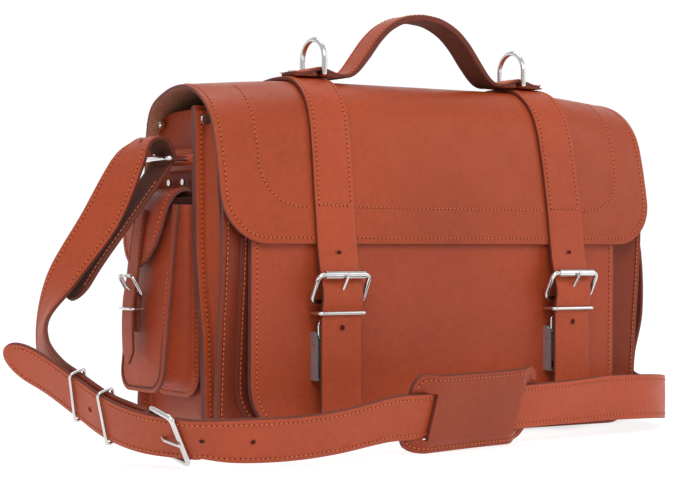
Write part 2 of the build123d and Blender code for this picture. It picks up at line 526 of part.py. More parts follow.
# short strap: tail, over the left side buckle's bar, down the left side and forward to the strap buckle
A_PTS = [(-308, 49, 117), (-290, 48, 145), (-267, 44, 177), (-244.5, 41, 208), (-229.5, 40, 230), (-232.5, 40, 243), (-240.5, 40, 247.5), (-249.5, 40.5, 243),
         (-262, 42, 226), (-286, 46, 182), (-313, 50, 138), (-331, 48, 102), (-337, 34, 76), (-335.5, 6, 58)]
A_W = [(0, -1, 0), (0, -1, 0), (0, -1, 0), (0, -1, 0), (0, -1, 0), (0, -1, 0), (0, -1, 0), (0, -1, 0), (.12, -1, -.1), (.2, -.96, -.2), (.1, -.99, -.1),
       (-.15, -.95, .2), (-.2, -.75, .62), (-.24, -.62, .75)]
for f in (k1, k2):
    A_PTS.append(tuple(f[0] - f[3] * 5.6))
    A_W.append(tuple(f[2]))
A_PTS.append(tuple(kb[0] - kb[3] * 6.6 - kb[1] * 8))
A_W.append(tuple(kb[2]))
A_PTS.append(tuple(ax_heel + bt * 3.4 - EN * 0.6))
A_W.append(tuple(EW))
short_strap = ribbon(A_PTS, A_W, STRAP_W, STRAP_T, 2)
loop_end = rod(tuple(ax_heel - EW * 18.5), tuple(ax_heel + EW * 18.5), 3.8)
short_strap = short_strap.fuse(loop_end).cut(rod(tuple(ax_heel - EW * 30), tuple(ax_heel + EW * 30), 2.14))
sl2 = Plane(origin=tuple(ax_heel), x_dir=tuple(bt), z_dir=tuple(EN))
short_strap = one(short_strap).cut(one(extrude(sl2 * Rectangle(11.0, 5.4), amount=5, both=True)))
short_strap = one(short_strap).cut(tail_cut)
short_strap = one(short_strap).cut(ribbon(B_PTS, B_W, STRAP_W + 2.0, STRAP_T + 0.4, NB))
save("strap_short", one(short_strap))

# two wire keepers round both layers
kp = []
for f in (k1, k2):
    o = f[0] - f[3] * 2.8
    kp.append(wire_loop(43.0, 12.8, 2.6, 1.3, Plane(origin=tuple(o), x_dir=tuple(f[2]), z_dir=tuple(f[1]))))
save("strap_keepers", *kp)

# shoulder pad: a sleeve that slides on the straight stretch of the long strap
PAD_L, PAD_H, PAD_T = 136.0, 63.0, 10.4
pt = (Vector(39, -136, 32) - Vector(-114, -156, 29.5)).normalized()
pm = Vector(-37.5, -146.0, 30.75) - pt * 18.0
pw = Vector(0, -.325, .945)
pw = (pw - pt * pw.dot(pt)).normalized()
pad_pl = Plane(origin=tuple(pm), x_dir=tuple(pt), z_dir=tuple(pt.cross(pw)))
pad_out = Plane(origin=tuple(pm + pw * 1.8), x_dir=tuple(pt), z_dir=tuple(pt.cross(pw)))
pad = extrude(pad_out * RectangleRounded(PAD_L, PAD_H, 12), amount=PAD_T / 2, both=True)
chan = extrude(pad_pl * Rectangle(PAD_L + 20, 39.6), amount=2.9, both=True)
save("shoulder_pad", one(pad.cut(chan)))
print("pad axis", [round(c, 5) for c in tuple(pt)], "centre", tuple(pm), "heel", [round(c, 2) for c in tuple(ax_heel)], "W", [round(c, 4) for c in tuple(EW)])
print("long strap length", round(sum((FR[i + 1][0] - FR[i][0]).length for i in range(len(FR) - 1))))
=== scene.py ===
import bpy, bmesh, math
import numpy as np
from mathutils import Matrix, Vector


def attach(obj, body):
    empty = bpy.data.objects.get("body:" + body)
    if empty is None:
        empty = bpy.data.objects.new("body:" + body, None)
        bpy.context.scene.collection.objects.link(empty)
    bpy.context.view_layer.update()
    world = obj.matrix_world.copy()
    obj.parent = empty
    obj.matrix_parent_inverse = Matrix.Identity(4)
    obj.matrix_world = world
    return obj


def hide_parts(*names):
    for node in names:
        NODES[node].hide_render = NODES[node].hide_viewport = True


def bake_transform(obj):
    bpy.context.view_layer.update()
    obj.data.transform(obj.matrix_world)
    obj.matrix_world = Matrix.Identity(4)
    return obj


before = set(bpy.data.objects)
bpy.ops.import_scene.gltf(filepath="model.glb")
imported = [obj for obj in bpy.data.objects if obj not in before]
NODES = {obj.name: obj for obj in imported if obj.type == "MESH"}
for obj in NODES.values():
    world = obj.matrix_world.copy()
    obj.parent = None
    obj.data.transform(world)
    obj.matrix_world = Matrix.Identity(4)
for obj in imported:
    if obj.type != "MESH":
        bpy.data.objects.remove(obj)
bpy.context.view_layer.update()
MM = 0.001

# ---------------------------------------------------------------- materials
def lin(r, g, b):
    return tuple(((c / 255.0) / 12.92 if c <= 10 else (((c / 255.0) + 0.055) / 1.055) ** 2.4) for c in (r, g, b)) + (1.0,)


def mul(c, k):
    return (c[0] * k, c[1] * k, c[2] * k, 1.0)


def mat_base(name):
    m = bpy.data.materials.new(name)
    m.use_nodes = True
    nt = m.node_tree
    return m, nt, nt.nodes["Principled BSDF"]


def add(nt, kind, **vals):
    n = nt.nodes.new(kind)
    for k, v in vals.items():
        n.inputs[k].default_value = v
    return n


def ramp(nt, src, stops):
    r = nt.nodes.new("ShaderNodeValToRGB")
    el = r.color_ramp.elements
    el[0].position, el[0].color = stops[0]
    el[1].position, el[1].color = stops[-1]
    for p, c in stops[1:-1]:
        e = el.new(p)
        e.color = c
    nt.links.new(src, r.inputs["Fac"])
    return r


def leather(name, col, r0=0.34, r1=0.5, bump=0.22, grain=620.0, tone=(0.86, 1.1), spec=0.28, coat=0.0):
    """smooth dyed leather: slow tone drift, fine mottle, pebbled grain and a soft wrinkle in the bump"""
    m, nt, b = mat_base(name)
    L = nt.links.new
    tc = nt.nodes.new("ShaderNodeTexCoord")
    n1 = add(nt, "ShaderNodeTexNoise", Scale=7.5, Detail=5.0, Roughness=0.55)
    n2 = add(nt, "ShaderNodeTexNoise", Scale=210.0, Detail=3.0, Roughness=0.6)
    vo = add(nt, "ShaderNodeTexVoronoi", Scale=grain)
    n3 = add(nt, "ShaderNodeTexNoise", Scale=46.0, Detail=4.0, Roughness=0.6)
    n4 = add(nt, "ShaderNodeTexNoise", Scale=1900.0, Detail=2.0)
    for n in (n1, n2, vo, n3, n4):
        L(tc.outputs["Object"], n.inputs["Vector"])
    c1 = ramp(nt, n1.outputs["Fac"], [(0.3, mul(col, tone[0])), (0.52, col), (0.72, mul(col, tone[1]))])
    c2 = ramp(nt, n2.outputs["Fac"], [(0.25, (0.86, 0.84, 0.82, 1)), (0.75, (1.1, 1.1, 1.1, 1))])
    mx = nt.nodes.new("ShaderNodeMix")
    mx.data_type = "RGBA"
    mx.blend_type = "MULTIPLY"
    mx.inputs[0].default_value = 0.8
    L(c1.outputs["Color"], mx.inputs[6])
    L(c2.outputs["Color"], mx.inputs[7])
    L(mx.outputs[2], b.inputs["Base Color"])
    mr = nt.nodes.new("ShaderNodeMapRange")
    mr.inputs[1].default_value, mr.inputs[2].default_value = 0.3, 0.7
    mr.inputs[3].default_value, mr.inputs[4].default_value = r0, r1
    L(n3.outputs["Fac"], mr.inputs[0])
    L(mr.outputs[0], b.inputs["Roughness"])
    b1 = add(nt, "ShaderNodeBump", Strength=bump, Distance=0.00035)
    L(vo.outputs["Distance"], b1.inputs["Height"])
    b2 = add(nt, "ShaderNodeBump", Strength=bump * 0.7, Distance=0.0009)
    L(n3.outputs["Fac"], b2.inputs["Height"])
    b3 = add(nt, "ShaderNodeBump", Strength=bump * 0.5, Distance=0.00012)
    L(n4.outputs["Fac"], b3.inputs["Height"])
    L(b1.outputs["Normal"], b2.inputs["Normal"])
    L(b2.outputs["Normal"], b3.inputs["Normal"])
    L(b3.outputs["Normal"], b.inputs["Normal"])
    b.inputs["Specular IOR Level"].default_value = spec
    b.inputs["Coat Weight"].default_value = coat
    b.inputs["Coat Roughness"].default_value = 0.35
    return m


def fibrous(name, col, rough=0.85, scale=420.0, bump=0.6, tone=(0.7, 1.2)):
    """flesh side or cut edge: short fibres, no gloss"""
    m, nt, b = mat_base(name)
    L = nt.links.new
    tc = nt.nodes.new("ShaderNodeTexCoord")
    n1 = add(nt, "ShaderNodeTexNoise", Scale=scale, Detail=6.0, Roughness=0.7)
    n2 = add(nt, "ShaderNodeTexNoise", Scale=24.0, Detail=3.0)
    for n in (n1, n2):
        L(tc.outputs["Object"], n.inputs["Vector"])
    c1 = ramp(nt, n1.outputs["Fac"], [(0.3, mul(col, tone[0])), (0.5, col), (0.72, mul(col, tone[1]))])
    c2 = ramp(nt, n2.outputs["Fac"], [(0.3, (0.85, 0.85, 0.85, 1)), (0.7, (1.1, 1.1, 1.1, 1))])
    mx = nt.nodes.new("ShaderNodeMix")
    mx.data_type = "RGBA"
    mx.blend_type = "MULTIPLY"
    mx.inputs[0].default_value = 1.0
    L(c1.outputs["Color"], mx.inputs[6])
    L(c2.outputs["Color"], mx.inputs[7])
    L(mx.outputs[2], b.inputs["Base Color"])
    bp = add(nt, "ShaderNodeBump", Strength=bump, Distance=0.0005)
    L(n1.outputs["Fac"], bp.inputs["Height"])
    L(bp.outputs["Normal"], b.inputs["Normal"])
    b.inputs["Roughness"].default_value = rough
    b.inputs["Specular IOR Level"].default_value = 0.2
    return m


def metal(name, col, r0=0.08, r1=0.22, met=1.0):
    m, nt, b = mat_base(name)
    L = nt.links.new
    tc = nt.nodes.new("ShaderNodeTexCoord")
    n1 = add(nt, "ShaderNodeTexNoise", Scale=260.0, Detail=5.0, Roughness=0.6)
    n2 = add(nt, "ShaderNodeTexNoise", Scale=60.0, Detail=3.0)
    for n in (n1, n2):
        L(tc.outputs["Object"], n.inputs["Vector"])
    c1 = ramp(nt, n2.outputs["Fac"], [(0.3, mul(col, 0.86)), (0.7, col)])
    L(c1.outputs["Color"], b.inputs["Base Color"])
    mr = nt.nodes.new("ShaderNodeMapRange")
    mr.inputs[1].default_value, mr.inputs[2].default_value = 0.3, 0.7
    mr.inputs[3].default_value, mr.inputs[4].default_value = r0, r1
    L(n1.outputs["Fac"], mr.inputs[0])
    L(mr.outputs[0], b.inputs["Roughness"])
    bp = add(nt, "ShaderNodeBump", Strength=0.04, Distance=0.0002)
    L(n1.outputs["Fac"], bp.inputs["Height"])
    L(bp.outputs["Normal"], b.inputs["Normal"])
    b.inputs["Metallic"].default_value = met
    return m


TAN = lin(176, 76, 44)
M_FLAP = leather("leather_flap", lin(157, 63, 29))
M_PANEL = leather("leather_panel", lin(160, 65, 35))
# front panel leather: a darker copy of the panel leather, painted shade for the strip beside the pocket and under the
# flap
M_FRONT_SHADE = leather("leather_front_panel_painted_shade", lin(124, 48, 25), r0=0.44, r1=0.58)
M_GUSSET = leather("leather_gusset", lin(150, 60, 33), r0=0.46, r1=0.6)
# front gusset leather: a lighter copy of the gusset leather, painted light for the lit web on the front-left
M_GUSSET_F_LIT = leather("leather_front_gusset_painted_light", lin(170, 72, 38), r0=0.44, r1=0.58)
# pocket gusset leather: a much darker copy of the gusset leather, painted shade for the recess between pocket and front
# panel
M_GUSSET_P_SHADE = leather("leather_pocket_gusset_painted_shade", lin(108, 40, 22), r0=0.46, r1=0.6)
M_SIDE = leather("leather_side", lin(166, 68, 38), r0=0.4, r1=0.54)
M_STRAP = leather("leather_strap", lin(164, 67, 35), r0=0.4, r1=0.54)
M_PAD = leather("leather_pad", lin(142, 56, 26), r0=0.42, r1=0.56, bump=0.3)
M_EDGE = fibrous("leather_cut_edge", lin(112, 66, 60), rough=0.7, scale=700.0, bump=0.35, tone=(0.75, 1.15))
M_EDGE2 = fibrous("strap_cut_edge", lin(104, 50, 38), rough=0.62, scale=700.0, bump=0.3, tone=(0.75, 1.15))
M_FLESH = fibrous("leather_flesh_side", lin(96, 50, 34))
M_SUEDE = fibrous("flap_flesh_side", lin(168, 116, 92), scale=300.0)
M_THREAD = fibrous("waxed_thread", lin(196, 100, 60), rough=0.6, scale=2600.0, bump=0.5, tone=(0.8, 1.15))
# near-black fill for needle holes and punched holes: painted shade standing in for the shadow inside the holes
M_HOLE_SHADE = fibrous("needle_hole_painted_shade", lin(66, 26, 16), rough=0.9, scale=900.0, bump=0.2)
M_CHROME = metal("nickel_plate", (0.74, 0.73, 0.72, 1.0))
# darker, partly metallic nickel for the clip bodies and levers: painted dark reflection for the flat plates
M_CHROME_DARK_REFLECTION = metal("nickel_plate_painted_dark_reflection", (0.4, 0.4, 0.42, 1.0), r0=0.2, r1=0.26, met=0.6)

# ---------------------------------------------------------------- mesh helpers (millimetres in, metres out)
def catmull(pts, n):
    pts = [tuple(map(float, p)) for p in pts]
    out, k = [], len(pts)
    for i in range(k - 1):
        p0, p1, p2, p3 = pts[max(i - 1, 0)], pts[i], pts[i + 1], pts[min(i + 2, k - 1)]
        for j in range(n):
            t = j / n
            out.append(tuple(0.5 * ((2 * b) + (c - a) * t + (2 * a - 5 * b + 4 * c - d) * t * t
                                    + (3 * b - a - 3 * c + d) * t ** 3) for a, b, c, d in zip(p0, p1, p2, p3)))
    out.append(pts[-1])
    return np.array(out)


def offset2(p, d):
    t = np.gradient(p, axis=0)
    t /= np.linalg.norm(t, axis=1)[:, None]
    return p + np.stack([-t[:, 1], t[:, 0]], 1) * d


def smooth(t):
    t = np.clip(t, 0.0, 1.0)
    return t * t * (3 - 2 * t)


def link(name, verts, faces, mats, mi=None, angle=38.0):
    me = bpy.data.meshes.new(name)
    me.from_pydata([tuple(v) for v in np.asarray(verts) * MM], [], [tuple(int(i) for i in f) for f in faces])
    for m in mats:
        me.materials.append(m)
    if mi is not None:
        me.polygons.foreach_set("material_index", np.array(mi, dtype=np.int32))
    ob = bpy.data.objects.new(name, me)
    bpy.context.scene.collection.objects.link(ob)
    bm = bmesh.new()
    bm.from_mesh(me)
    bmesh.ops.recalc_face_normals(bm, faces=bm.faces)
    bm.to_mesh(me)
    bm.free()
    return ob


def bake(ob, angle=38.0):
    bpy.context.view_layer.update()
    dg = bpy.context.evaluated_depsgraph_get()
    me = bpy.data.meshes.new_from_object(ob.evaluated_get(dg))
    ob.modifiers.clear()
    ob.data = me
    me.polygons.foreach_set("use_smooth", [True] * len(me.polygons))
    me.set_sharp_from_angle(angle=math.radians(angle))
    return ob


def bevel(ob, w=0.5, seg=2, angle=38.0):
    b = ob.modifiers.new("bevel", "BEVEL")
    b.width = w * MM
    b.segments = seg
    b.limit_method = "ANGLE"
    b.angle_limit = math.radians(angle)
    b.miter_outer = "MITER_ARC"
    return bake(ob)


def slab(name, G, thick, mats, drop=(), w=0.55, out=None, at=None, even=True):
    """sheet from a grid of points on its grain side; the flesh side is thick below it.
    out says which way the grain side faces at grid place at"""
    G = np.asarray(G, float)
    n, m, _ = G.shape
    N = np.cross(np.gradient(G, axis=1), np.gradient(G, axis=0))
    i, j = at or (n // 2, m // 2)
    flip = float(N[i, j] @ np.array(out if out is not None else (0, -1, 0))) < 0
    faces = []
    for i in range(n - 1):
        for j in range(m - 1):
            if (i, j) in drop:
                continue
            q = (i * m + j, i * m + j + 1, (i + 1) * m + j + 1, (i + 1) * m + j)
            faces.append(q[::-1] if flip else q)
    me = bpy.data.meshes.new(name)
    me.from_pydata([tuple(v) for v in G.reshape(-1, 3) * MM], [], faces)
    for mt in mats:
        me.materials.append(mt)
    ob = bpy.data.objects.new(name, me)
    bpy.context.scene.collection.objects.link(ob)
    bm = bmesh.new()
    bm.from_mesh(me)
    bmesh.ops.remove_doubles(bm, verts=bm.verts, dist=1e-6)
    loose = [v for v in bm.verts if not v.link_faces]
    bmesh.ops.delete(bm, geom=loose, context="VERTS")
    bm.to_mesh(me)
    bm.free()
    s = ob.modifiers.new("thick", "SOLIDIFY")
    s.thickness = thick * MM
    s.offset = -1.0
    s.use_even_offset = even
    s.material_offset = 2
    s.material_offset_rim = 1
    bake(ob)
    return bevel(ob, w)


def sec_round(w, t, r=0.9, k=3):
    """rounded-rectangle strap section: points (across, out)"""
    pts, mi = [], []
    a, b = w / 2, t / 2
    r = min(r, b * 0.95)
    for cx, cy, a0, tag in ((a - r, b - r, 0, 1), (-a + r, b - r, 90, 1), (-a + r, -b + r, 180, 1), (a - r, -b + r, 270, 1)):
        for i in range(k + 1):
            an = math.radians(a0 + 90 * i / k)
            pts.append((cx + r * math.cos(an), cy + r * math.sin(an)))
    return pts


def path_frames(rows):
    P, W = rows[:, :3], rows[:, 3:6]
    T = np.gradient(P, axis=0)
    T /= np.linalg.norm(T, axis=1)[:, None]
    W = W / np.linalg.norm(W, axis=1)[:, None]
    W = W - T * (W * T).sum(1)[:, None]
    W /= np.linalg.norm(W, axis=1)[:, None]
    N = np.cross(T, W)
    s = np.concatenate([[0], np.cumsum(np.linalg.norm(np.diff(P, axis=0), axis=1))])
    return P, T, W, N, s


def strap(name, rows, width, thick, mats, wf=None, tf=None, r=0.9, crown=0.25):
    """strap along frames; wf and tf scale width and thickness by arc length; +N is the grain side"""
    P, T, W, N, s = path_frames(rows)
    k = 3
    verts, faces, mi = [], [], []
    m = 0
    for i in range(len(P)):
        w = width * (wf(s[i], s[-1]) if wf else 1.0)
        t = thick * (tf(s[i], s[-1]) if tf else 1.0)
        sec = sec_round(max(w, 0.6), t, r, k)
        half = len(sec) // 2
        top = []
        # extra points across the grain side and the flesh side
        full = sec[:k + 1]
        a = max(w, 0.6) / 2 - min(r, t / 2 * 0.95)
        full += [(x * a, t / 2 + crown * (1 - x * x) * min(1, w / 20)) for x in (0.75, 0.4, 0.0, -0.4, -0.75)]
        full += sec[k + 1:2 * (k + 1)]
        full += sec[2 * (k + 1):3 * (k + 1)]
        full += [(x * a, -t / 2) for x in (-0.75, -0.4, 0.0, 0.4, 0.75)]
        full += sec[3 * (k + 1):]
        m = len(full)
        for u, v in full:
            verts.append(P[i] + W[i] * u + N[i] * v)
    q = len(P)
    for i in range(q - 1):
        for j in range(m):
            j2 = (j + 1) % m
            faces.append((i * m + j, i * m + j2, (i + 1) * m + j2, (i + 1) * m + j))
            # 0..k right-top corner, then grain, then left corner ...
            if k - 1 <= j <= k + 6:
                mi.append(0)
            elif 3 * (k + 1) + 5 - 1 - 1 <= j <= 3 * (k + 1) + 5 + 5:
                mi.append(2)
            else:
                mi.append(1)
    faces.append(tuple(range(m)))
    mi.append(1)
    faces.append(tuple(reversed(range((q - 1) * m, q * m))))
    mi.append(1)
    ob = link(name, verts, faces, mats, mi)
    return bake(ob, 50)


def prism(name, prof, a0, a1, axis, mats, w=0.4, edge_mi=1, n=2):
    """closed outline (two of the three axes) drawn out along the third; end faces are cut edge"""
    prof = np.asarray(prof, float)
    k = len(prof)
    verts, faces, mi = [], [], []
    for i in range(n):
        a = a0 + (a1 - a0) * i / (n - 1)
        for p in prof:
            verts.append((a, p[0], p[1]) if axis == "x" else ((p[0], a, p[1]) if axis == "y" else (p[0], p[1], a)))
    for i in range(n - 1):
        for j in range(k):
            faces.append((i * k + j, i * k + (j + 1) % k, (i + 1) * k + (j + 1) % k, (i + 1) * k + j))
            mi.append(0)
    faces.append(tuple(range(k)))
    mi.append(edge_mi)
    faces.append(tuple(range((n - 1) * k, n * k)))
    mi.append(edge_mi)
    ob = link(name, verts, faces, mats, mi)
    return bevel(ob, w)


# ---------------------------------------------------------------- stitches
ROWS = {}


def resample(p, step):
    p = np.asarray(p, float)
    d = np.concatenate([[0], np.cumsum(np.linalg.norm(np.diff(p[:, :3], axis=0), axis=1))])
    n = max(int(round(d[-1] / step)), 1)
    t = np.linspace(0, d[-1], n + 1)
    return np.stack([np.interp(t, d, p[:, k]) for k in range(p.shape[1])], 1)


def stitch(group, pts, nrm, pitch=4.0, rad=0.52):
    """row of stitches through pts (mm) with surface normals nrm, added to one mesh per group"""
    v, f, mi = ROWS.setdefault(group, ([], [], []))
    q = resample(np.concatenate([np.asarray(pts, float), np.asarray(nrm, float)], 1), pitch)
    for a, b in zip(q[:-1], q[1:]):
        t = b[:3] - a[:3]
        ln = np.linalg.norm(t)
        if ln < 1e-6:
            continue
        t = t / ln
        n = a[3:] + b[3:]
        n = n - t * (n @ t)
        n /= np.linalg.norm(n)
        s = np.cross(t, n)
        base = len(v)
        for u, h, r in ((0.10, -0.35, 0.5), (0.17, 0.02, 0.9), (0.35, 0.2, 1.0), (0.65, 0.2, 1.0), (0.83, 0.02, 0.9), (0.90, -0.35, 0.5)):
            c = a[:3] + t * ln * u + n * h * rad * 1.5
            for k in range(6):
                an = math.pi * k / 3
                v.append(c + (s * math.cos(an) + n * math.sin(an)) * rad * r)
        for i in range(5):
            for k in range(6):
                f.append((base + i * 6 + k, base + i * 6 + (k + 1) % 6, base + (i + 1) * 6 + (k + 1) % 6, base + (i + 1) * 6 + k))
                mi.append(0)
        f.append(tuple(base + k for k in reversed(range(6))))
        f.append(tuple(base + 30 + k for k in range(6)))
        mi += [0, 0]
        # needle hole at the start of each stitch: a small dark cone, painted shade for the hole
        base = len(v)
        for k in range(6):
            an = math.pi * k / 3
            v.append(a[:3] + (s * math.cos(an) * 0.8 + t * math.sin(an) * 0.85) + n * 0.04)
        v.append(a[:3] + n * 0.14)
        v.append(a[:3] - n * 0.4)
        for k in range(6):
            f.append((base + k, base + (k + 1) % 6, base + 6))
            f.append((base + (k + 1) % 6, base + k, base + 7))
            mi += [1, 1]


def stitch_on(group, fn, uv, out=(0, -1, 0), **kw):
    """fn(u, v) -> point; uv a dense list of parameters; out is the way the surface faces at the middle of the row"""
    uv = np.asarray(uv, float)
    P = np.array([fn(a, b) for a, b in uv])
    e = 0.5
    dU = np.array([fn(a + e, b) - fn(a - e, b) for a, b in uv])
    dV = np.array([fn(a, b + e) - fn(a, b - e) for a, b in uv])
    N = np.cross(dU, dV)
    N /= np.maximum(np.linalg.norm(N, axis=1), 1e-9)[:, None]
    if float(N[len(N) // 2] @ np.array(out)) < 0:
        N = -N
    stitch(group, P, N, **kw)


def u_path(hw, z0, z1, r, inset, n=10, x_in=0.0):
    """U along a panel's edge, inset from it"""
    rr = max(r - inset, 3.0)
    a, b = hw - inset, z0 + inset
    pts = [(-a, z1 - (z1 - b - rr) * i / 40) for i in range(41)]
    pts += [(-a + rr - rr * math.cos(math.radians(t)), b + rr - rr * math.sin(math.radians(t))) for t in np.linspace(0, 90, n)[1:]]
    pts += [(x, b) for x in np.linspace(-a + rr, a - rr, 60)[1:]]
    pts += [(a - rr + rr * math.sin(math.radians(t)), b + rr - rr * math.cos(math.radians(t))) for t in np.linspace(0, 90, n)[1:]]
    pts += [(a, b + rr + (z1 - b - rr) * i / 40) for i in range(1, 41)]
    return pts


def panel_grid(fn, hw, z0, z1, r, nx=44, nz=30, nc=8):
    """grid of points over a panel outline with rounded lower corners; fn(x, z) -> point"""
    zs = [z0 + r - r * math.cos(math.radians(t)) for t in np.linspace(0, 90, nc)] + list(np.linspace(z0 + r, z1, nz)[1:])
    G = []
    for z in zs:
        h = hw if z >= z0 + r else hw - r + math.sqrt(max(r * r - (z0 + r - z) ** 2, 0))
        G.append([fn(x * h, z) for x in np.linspace(-1, 1, nx)])
    return np.array(G)


def hide(piece, body, slot, *nodes):
    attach(piece, body)
    if nodes:
        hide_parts(*nodes)
    return piece


# ---------------------------------------------------------------- sizes (mm)
HW, TK, G2, FL = 218.0, 3.0, 2.2, 11.0
RC = 28.0
WX = 209.2
SIDE_Y, SIDE_W = 54.0, 68.0
SX = -120.0


def yB(z):          # outer face of the back panel
    return 111.0 - 16.0 * z / 249.0


def yD(z):          # middle of the divider
    return np.interp(z, [0, 12, 50, 90, 125, 157, 268], [-7, -7, -6.2, -3.5, 3, 7.0, 9.0])


def yF(z):          # outer face of the front panel
    return np.interp(z, [0, 10, 60, 100, 130, 155, 185, 210, 238], [-27.5, -28, -31, -34, -37, -39, -40, -38.2, -35])


def yP(x, z):       # outer face of the front pocket
    e = 1.0 - smooth((abs(x) - 120.0) / 68.0)
    return np.interp(z, [0, 20, 50, 90, 130, 172], [-42.6, -43.8, -44.4, -44.6, -45.2, -45.4]) + 1.6 * (1 - e)


# ---------------------------------------------------------------- back panel and flap: one sheet
P_END = [(111, 0), (108.4, 40), (104.6, 100), (100.7, 160), (97.3, 210), (93.8, 240), (91.2, 252), (86.5, 264), (80, 273.5), (70, 281), (54, 287.2), (38, 290.8), (20, 291.4), (1, 286.6),
         (-15, 277), (-26, 265), (-32, 253.5), (-36, 240), (-38.8, 228), (-41.4, 215), (-44.4, 198), (-47.4, 180), (-49.6, 162)]
P_MID = [(111, 0), (108.6, 40), (105.4, 100), (102.0, 160), (99.2, 210), (97.4, 240), (97.2, 252), (96.6, 264), (93.0, 276), (84, 286), (68, 292.8), (45, 296.8), (20, 298.6), (-3, 296.4),
         (-18, 288.6), (-29, 276), (-35.4, 260), (-39, 243), (-41.6, 229), (-43.6, 215), (-46, 198), (-48.6, 180), (-50.5, 162)]
ND = 12
Em, Mm = catmull(P_END, ND), catmull(P_MID, ND)
S_ALL = np.concatenate([[0], np.cumsum(np.linalg.norm(np.diff(Mm, axis=0), axis=1))])
S_END = S_ALL[-1]
S_TOP = S_ALL[6 * ND]                 # where the back panel turns into the flap
IDX = np.arange(len(S_ALL))


def sheet_pt(x, s):
    """outer face of the back panel and flap sheet; s is the length from the back's bottom edge"""
    k = np.interp(s, S_ALL, IDX)
    w = np.clip((abs(x) - 118.0) / 104.0, 0, 1) ** 1.4
    y = np.interp(k, IDX, Mm[:, 0]) * (1 - w) + np.interp(k, IDX, Em[:, 0]) * w
    z = np.interp(k, IDX, Mm[:, 1]) * (1 - w) + np.interp(k, IDX, Em[:, 1]) * w
    return np.array((x, y, z))


def flap_pt(x, d):
    return sheet_pt(x, S_END - d)


def sheet_hw(s):
    base = 218.0 + 4.0 * smooth((s - S_TOP + 20) / 60.0)
    if s < RC:
        return base - RC + math.sqrt(max(RC * RC - (RC - s) ** 2, 0))
    d = S_END - s
    if d < 40:
        return base - 40 + math.sqrt(max(1600 - (40 - d) ** 2, 0))
    return base


rows_s = [RC * (1 - math.cos(math.radians(t))) for t in np.linspace(0, 90, 9)]
rows_s += list(np.linspace(RC, S_TOP - 20, 26)[1:])
rows_s += list(np.linspace(S_TOP - 20, S_END - 40, 84)[1:])
rows_s += [S_END - 40 * (1 - math.cos(math.radians(t))) for t in np.linspace(90, 0, 13)[1:]]
Gs = np.array([[sheet_pt(x * sheet_hw(s), s) for x in np.linspace(-1, 1, 73)] for s in rows_s])
flap = slab("back_and_flap", Gs, TK, [M_FLAP, M_EDGE, M_SUEDE], out=(0, -1, 0), at=(len(rows_s) - 16, 36), w=0.7)
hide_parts("back_panel", "flap")
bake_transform(flap)

# stitches on the flap: round its edge, and the wide U on its front
edge = [(-217.0, d) for d in np.linspace(235, 40, 60)]
edge += [(-182 - 35 * math.cos(math.radians(t)), 40 - 35 * math.sin(math.radians(t))) for t in np.linspace(0, 90, 14)[1:]]
edge += [(x, 5.0) for x in np.linspace(-182, 182, 120)[1:]]
edge += [(182 + 35 * math.sin(math.radians(t)), 40 - 35 * math.cos(math.radians(t))) for t in np.linspace(0, 90, 14)[1:]]
edge += [(217.0, d) for d in np.linspace(40, 235, 60)[1:]]
stitch_on("flap", flap_pt, edge)
XI, DI, RI = 186.0, 30.0, 36.0
uu = [(-XI, d) for d in np.linspace(150, DI + RI, 40)]
uu += [(-XI + RI - RI * math.cos(math.radians(t)), DI + RI - RI * math.sin(math.radians(t))) for t in np.linspace(0, 90, 14)[1:]]
ul = uu + [(x, DI) for x in np.linspace(-XI + RI, -141, 8)[1:]]
stitch_on("flap", flap_pt, ul, (0, -1, 0.2))
stitch_on("flap", flap_pt, [(-x, d) for x, d in reversed(ul)])
stitch_on("flap", flap_pt, [(x, DI) for x in np.linspace(-99, 99, 60)])

# back panel stitches follow its edge where the gusset's flange is sewn on
back_u = [(x, s) for x, s in u_path(HW, 0, S_TOP - 18, RC, 5.0)]
stitch_on("root", lambda x, s: sheet_pt(x, s), back_u, (0, 1, 0))

# ---------------------------------------------------------------- divider, front panel, pocket panel
div = slab("divider", panel_grid(lambda x, z: np.array((x, yD(z) - TK / 2, z)), HW, 0, 274, RC), TK, [M_PANEL, M_EDGE, M_PANEL])
hide(div, "root", "panel_leather", "divider_panel")


def front_pt(x, z):
    b = 2.5 * (1 - (x / HW) ** 2) * smooth(z / 120.0) * (1 - smooth((z - 150) / 80.0))
    c = 6.5 * smooth((211.0 - abs(x)) / 10.0) * smooth((z - 4) / 30.0)
    return np.array((x, yF(z) - b * 0.6 + c, z))


fp = slab("front_panel_sheet", panel_grid(front_pt, HW, 0, 237, RC), TK, [M_FRONT_SHADE, M_EDGE, M_FLESH])
hide(fp, "root", "panel_leather", "front_panel")
stitch_on("root", front_pt, u_path(HW, 0, 236, RC, 4.5))


PX = -6.5            # the pocket sits a little to the left
PZ, PR = 8.0, 42.0   # its lower edge and corner radius


def pocket_pt(x, z):
    return np.array((x + PX, yP(x, z), z))


pp = slab("pocket_front", panel_grid(pocket_pt, 188, PZ, 171, PR), TK, [M_PANEL, M_EDGE, M_FLESH], w=0.7)
hide(pp, "root", "panel_leather", "pocket_panel")
stitch_on("root", pocket_pt, u_path(188, PZ, 170, PR, 5.0))


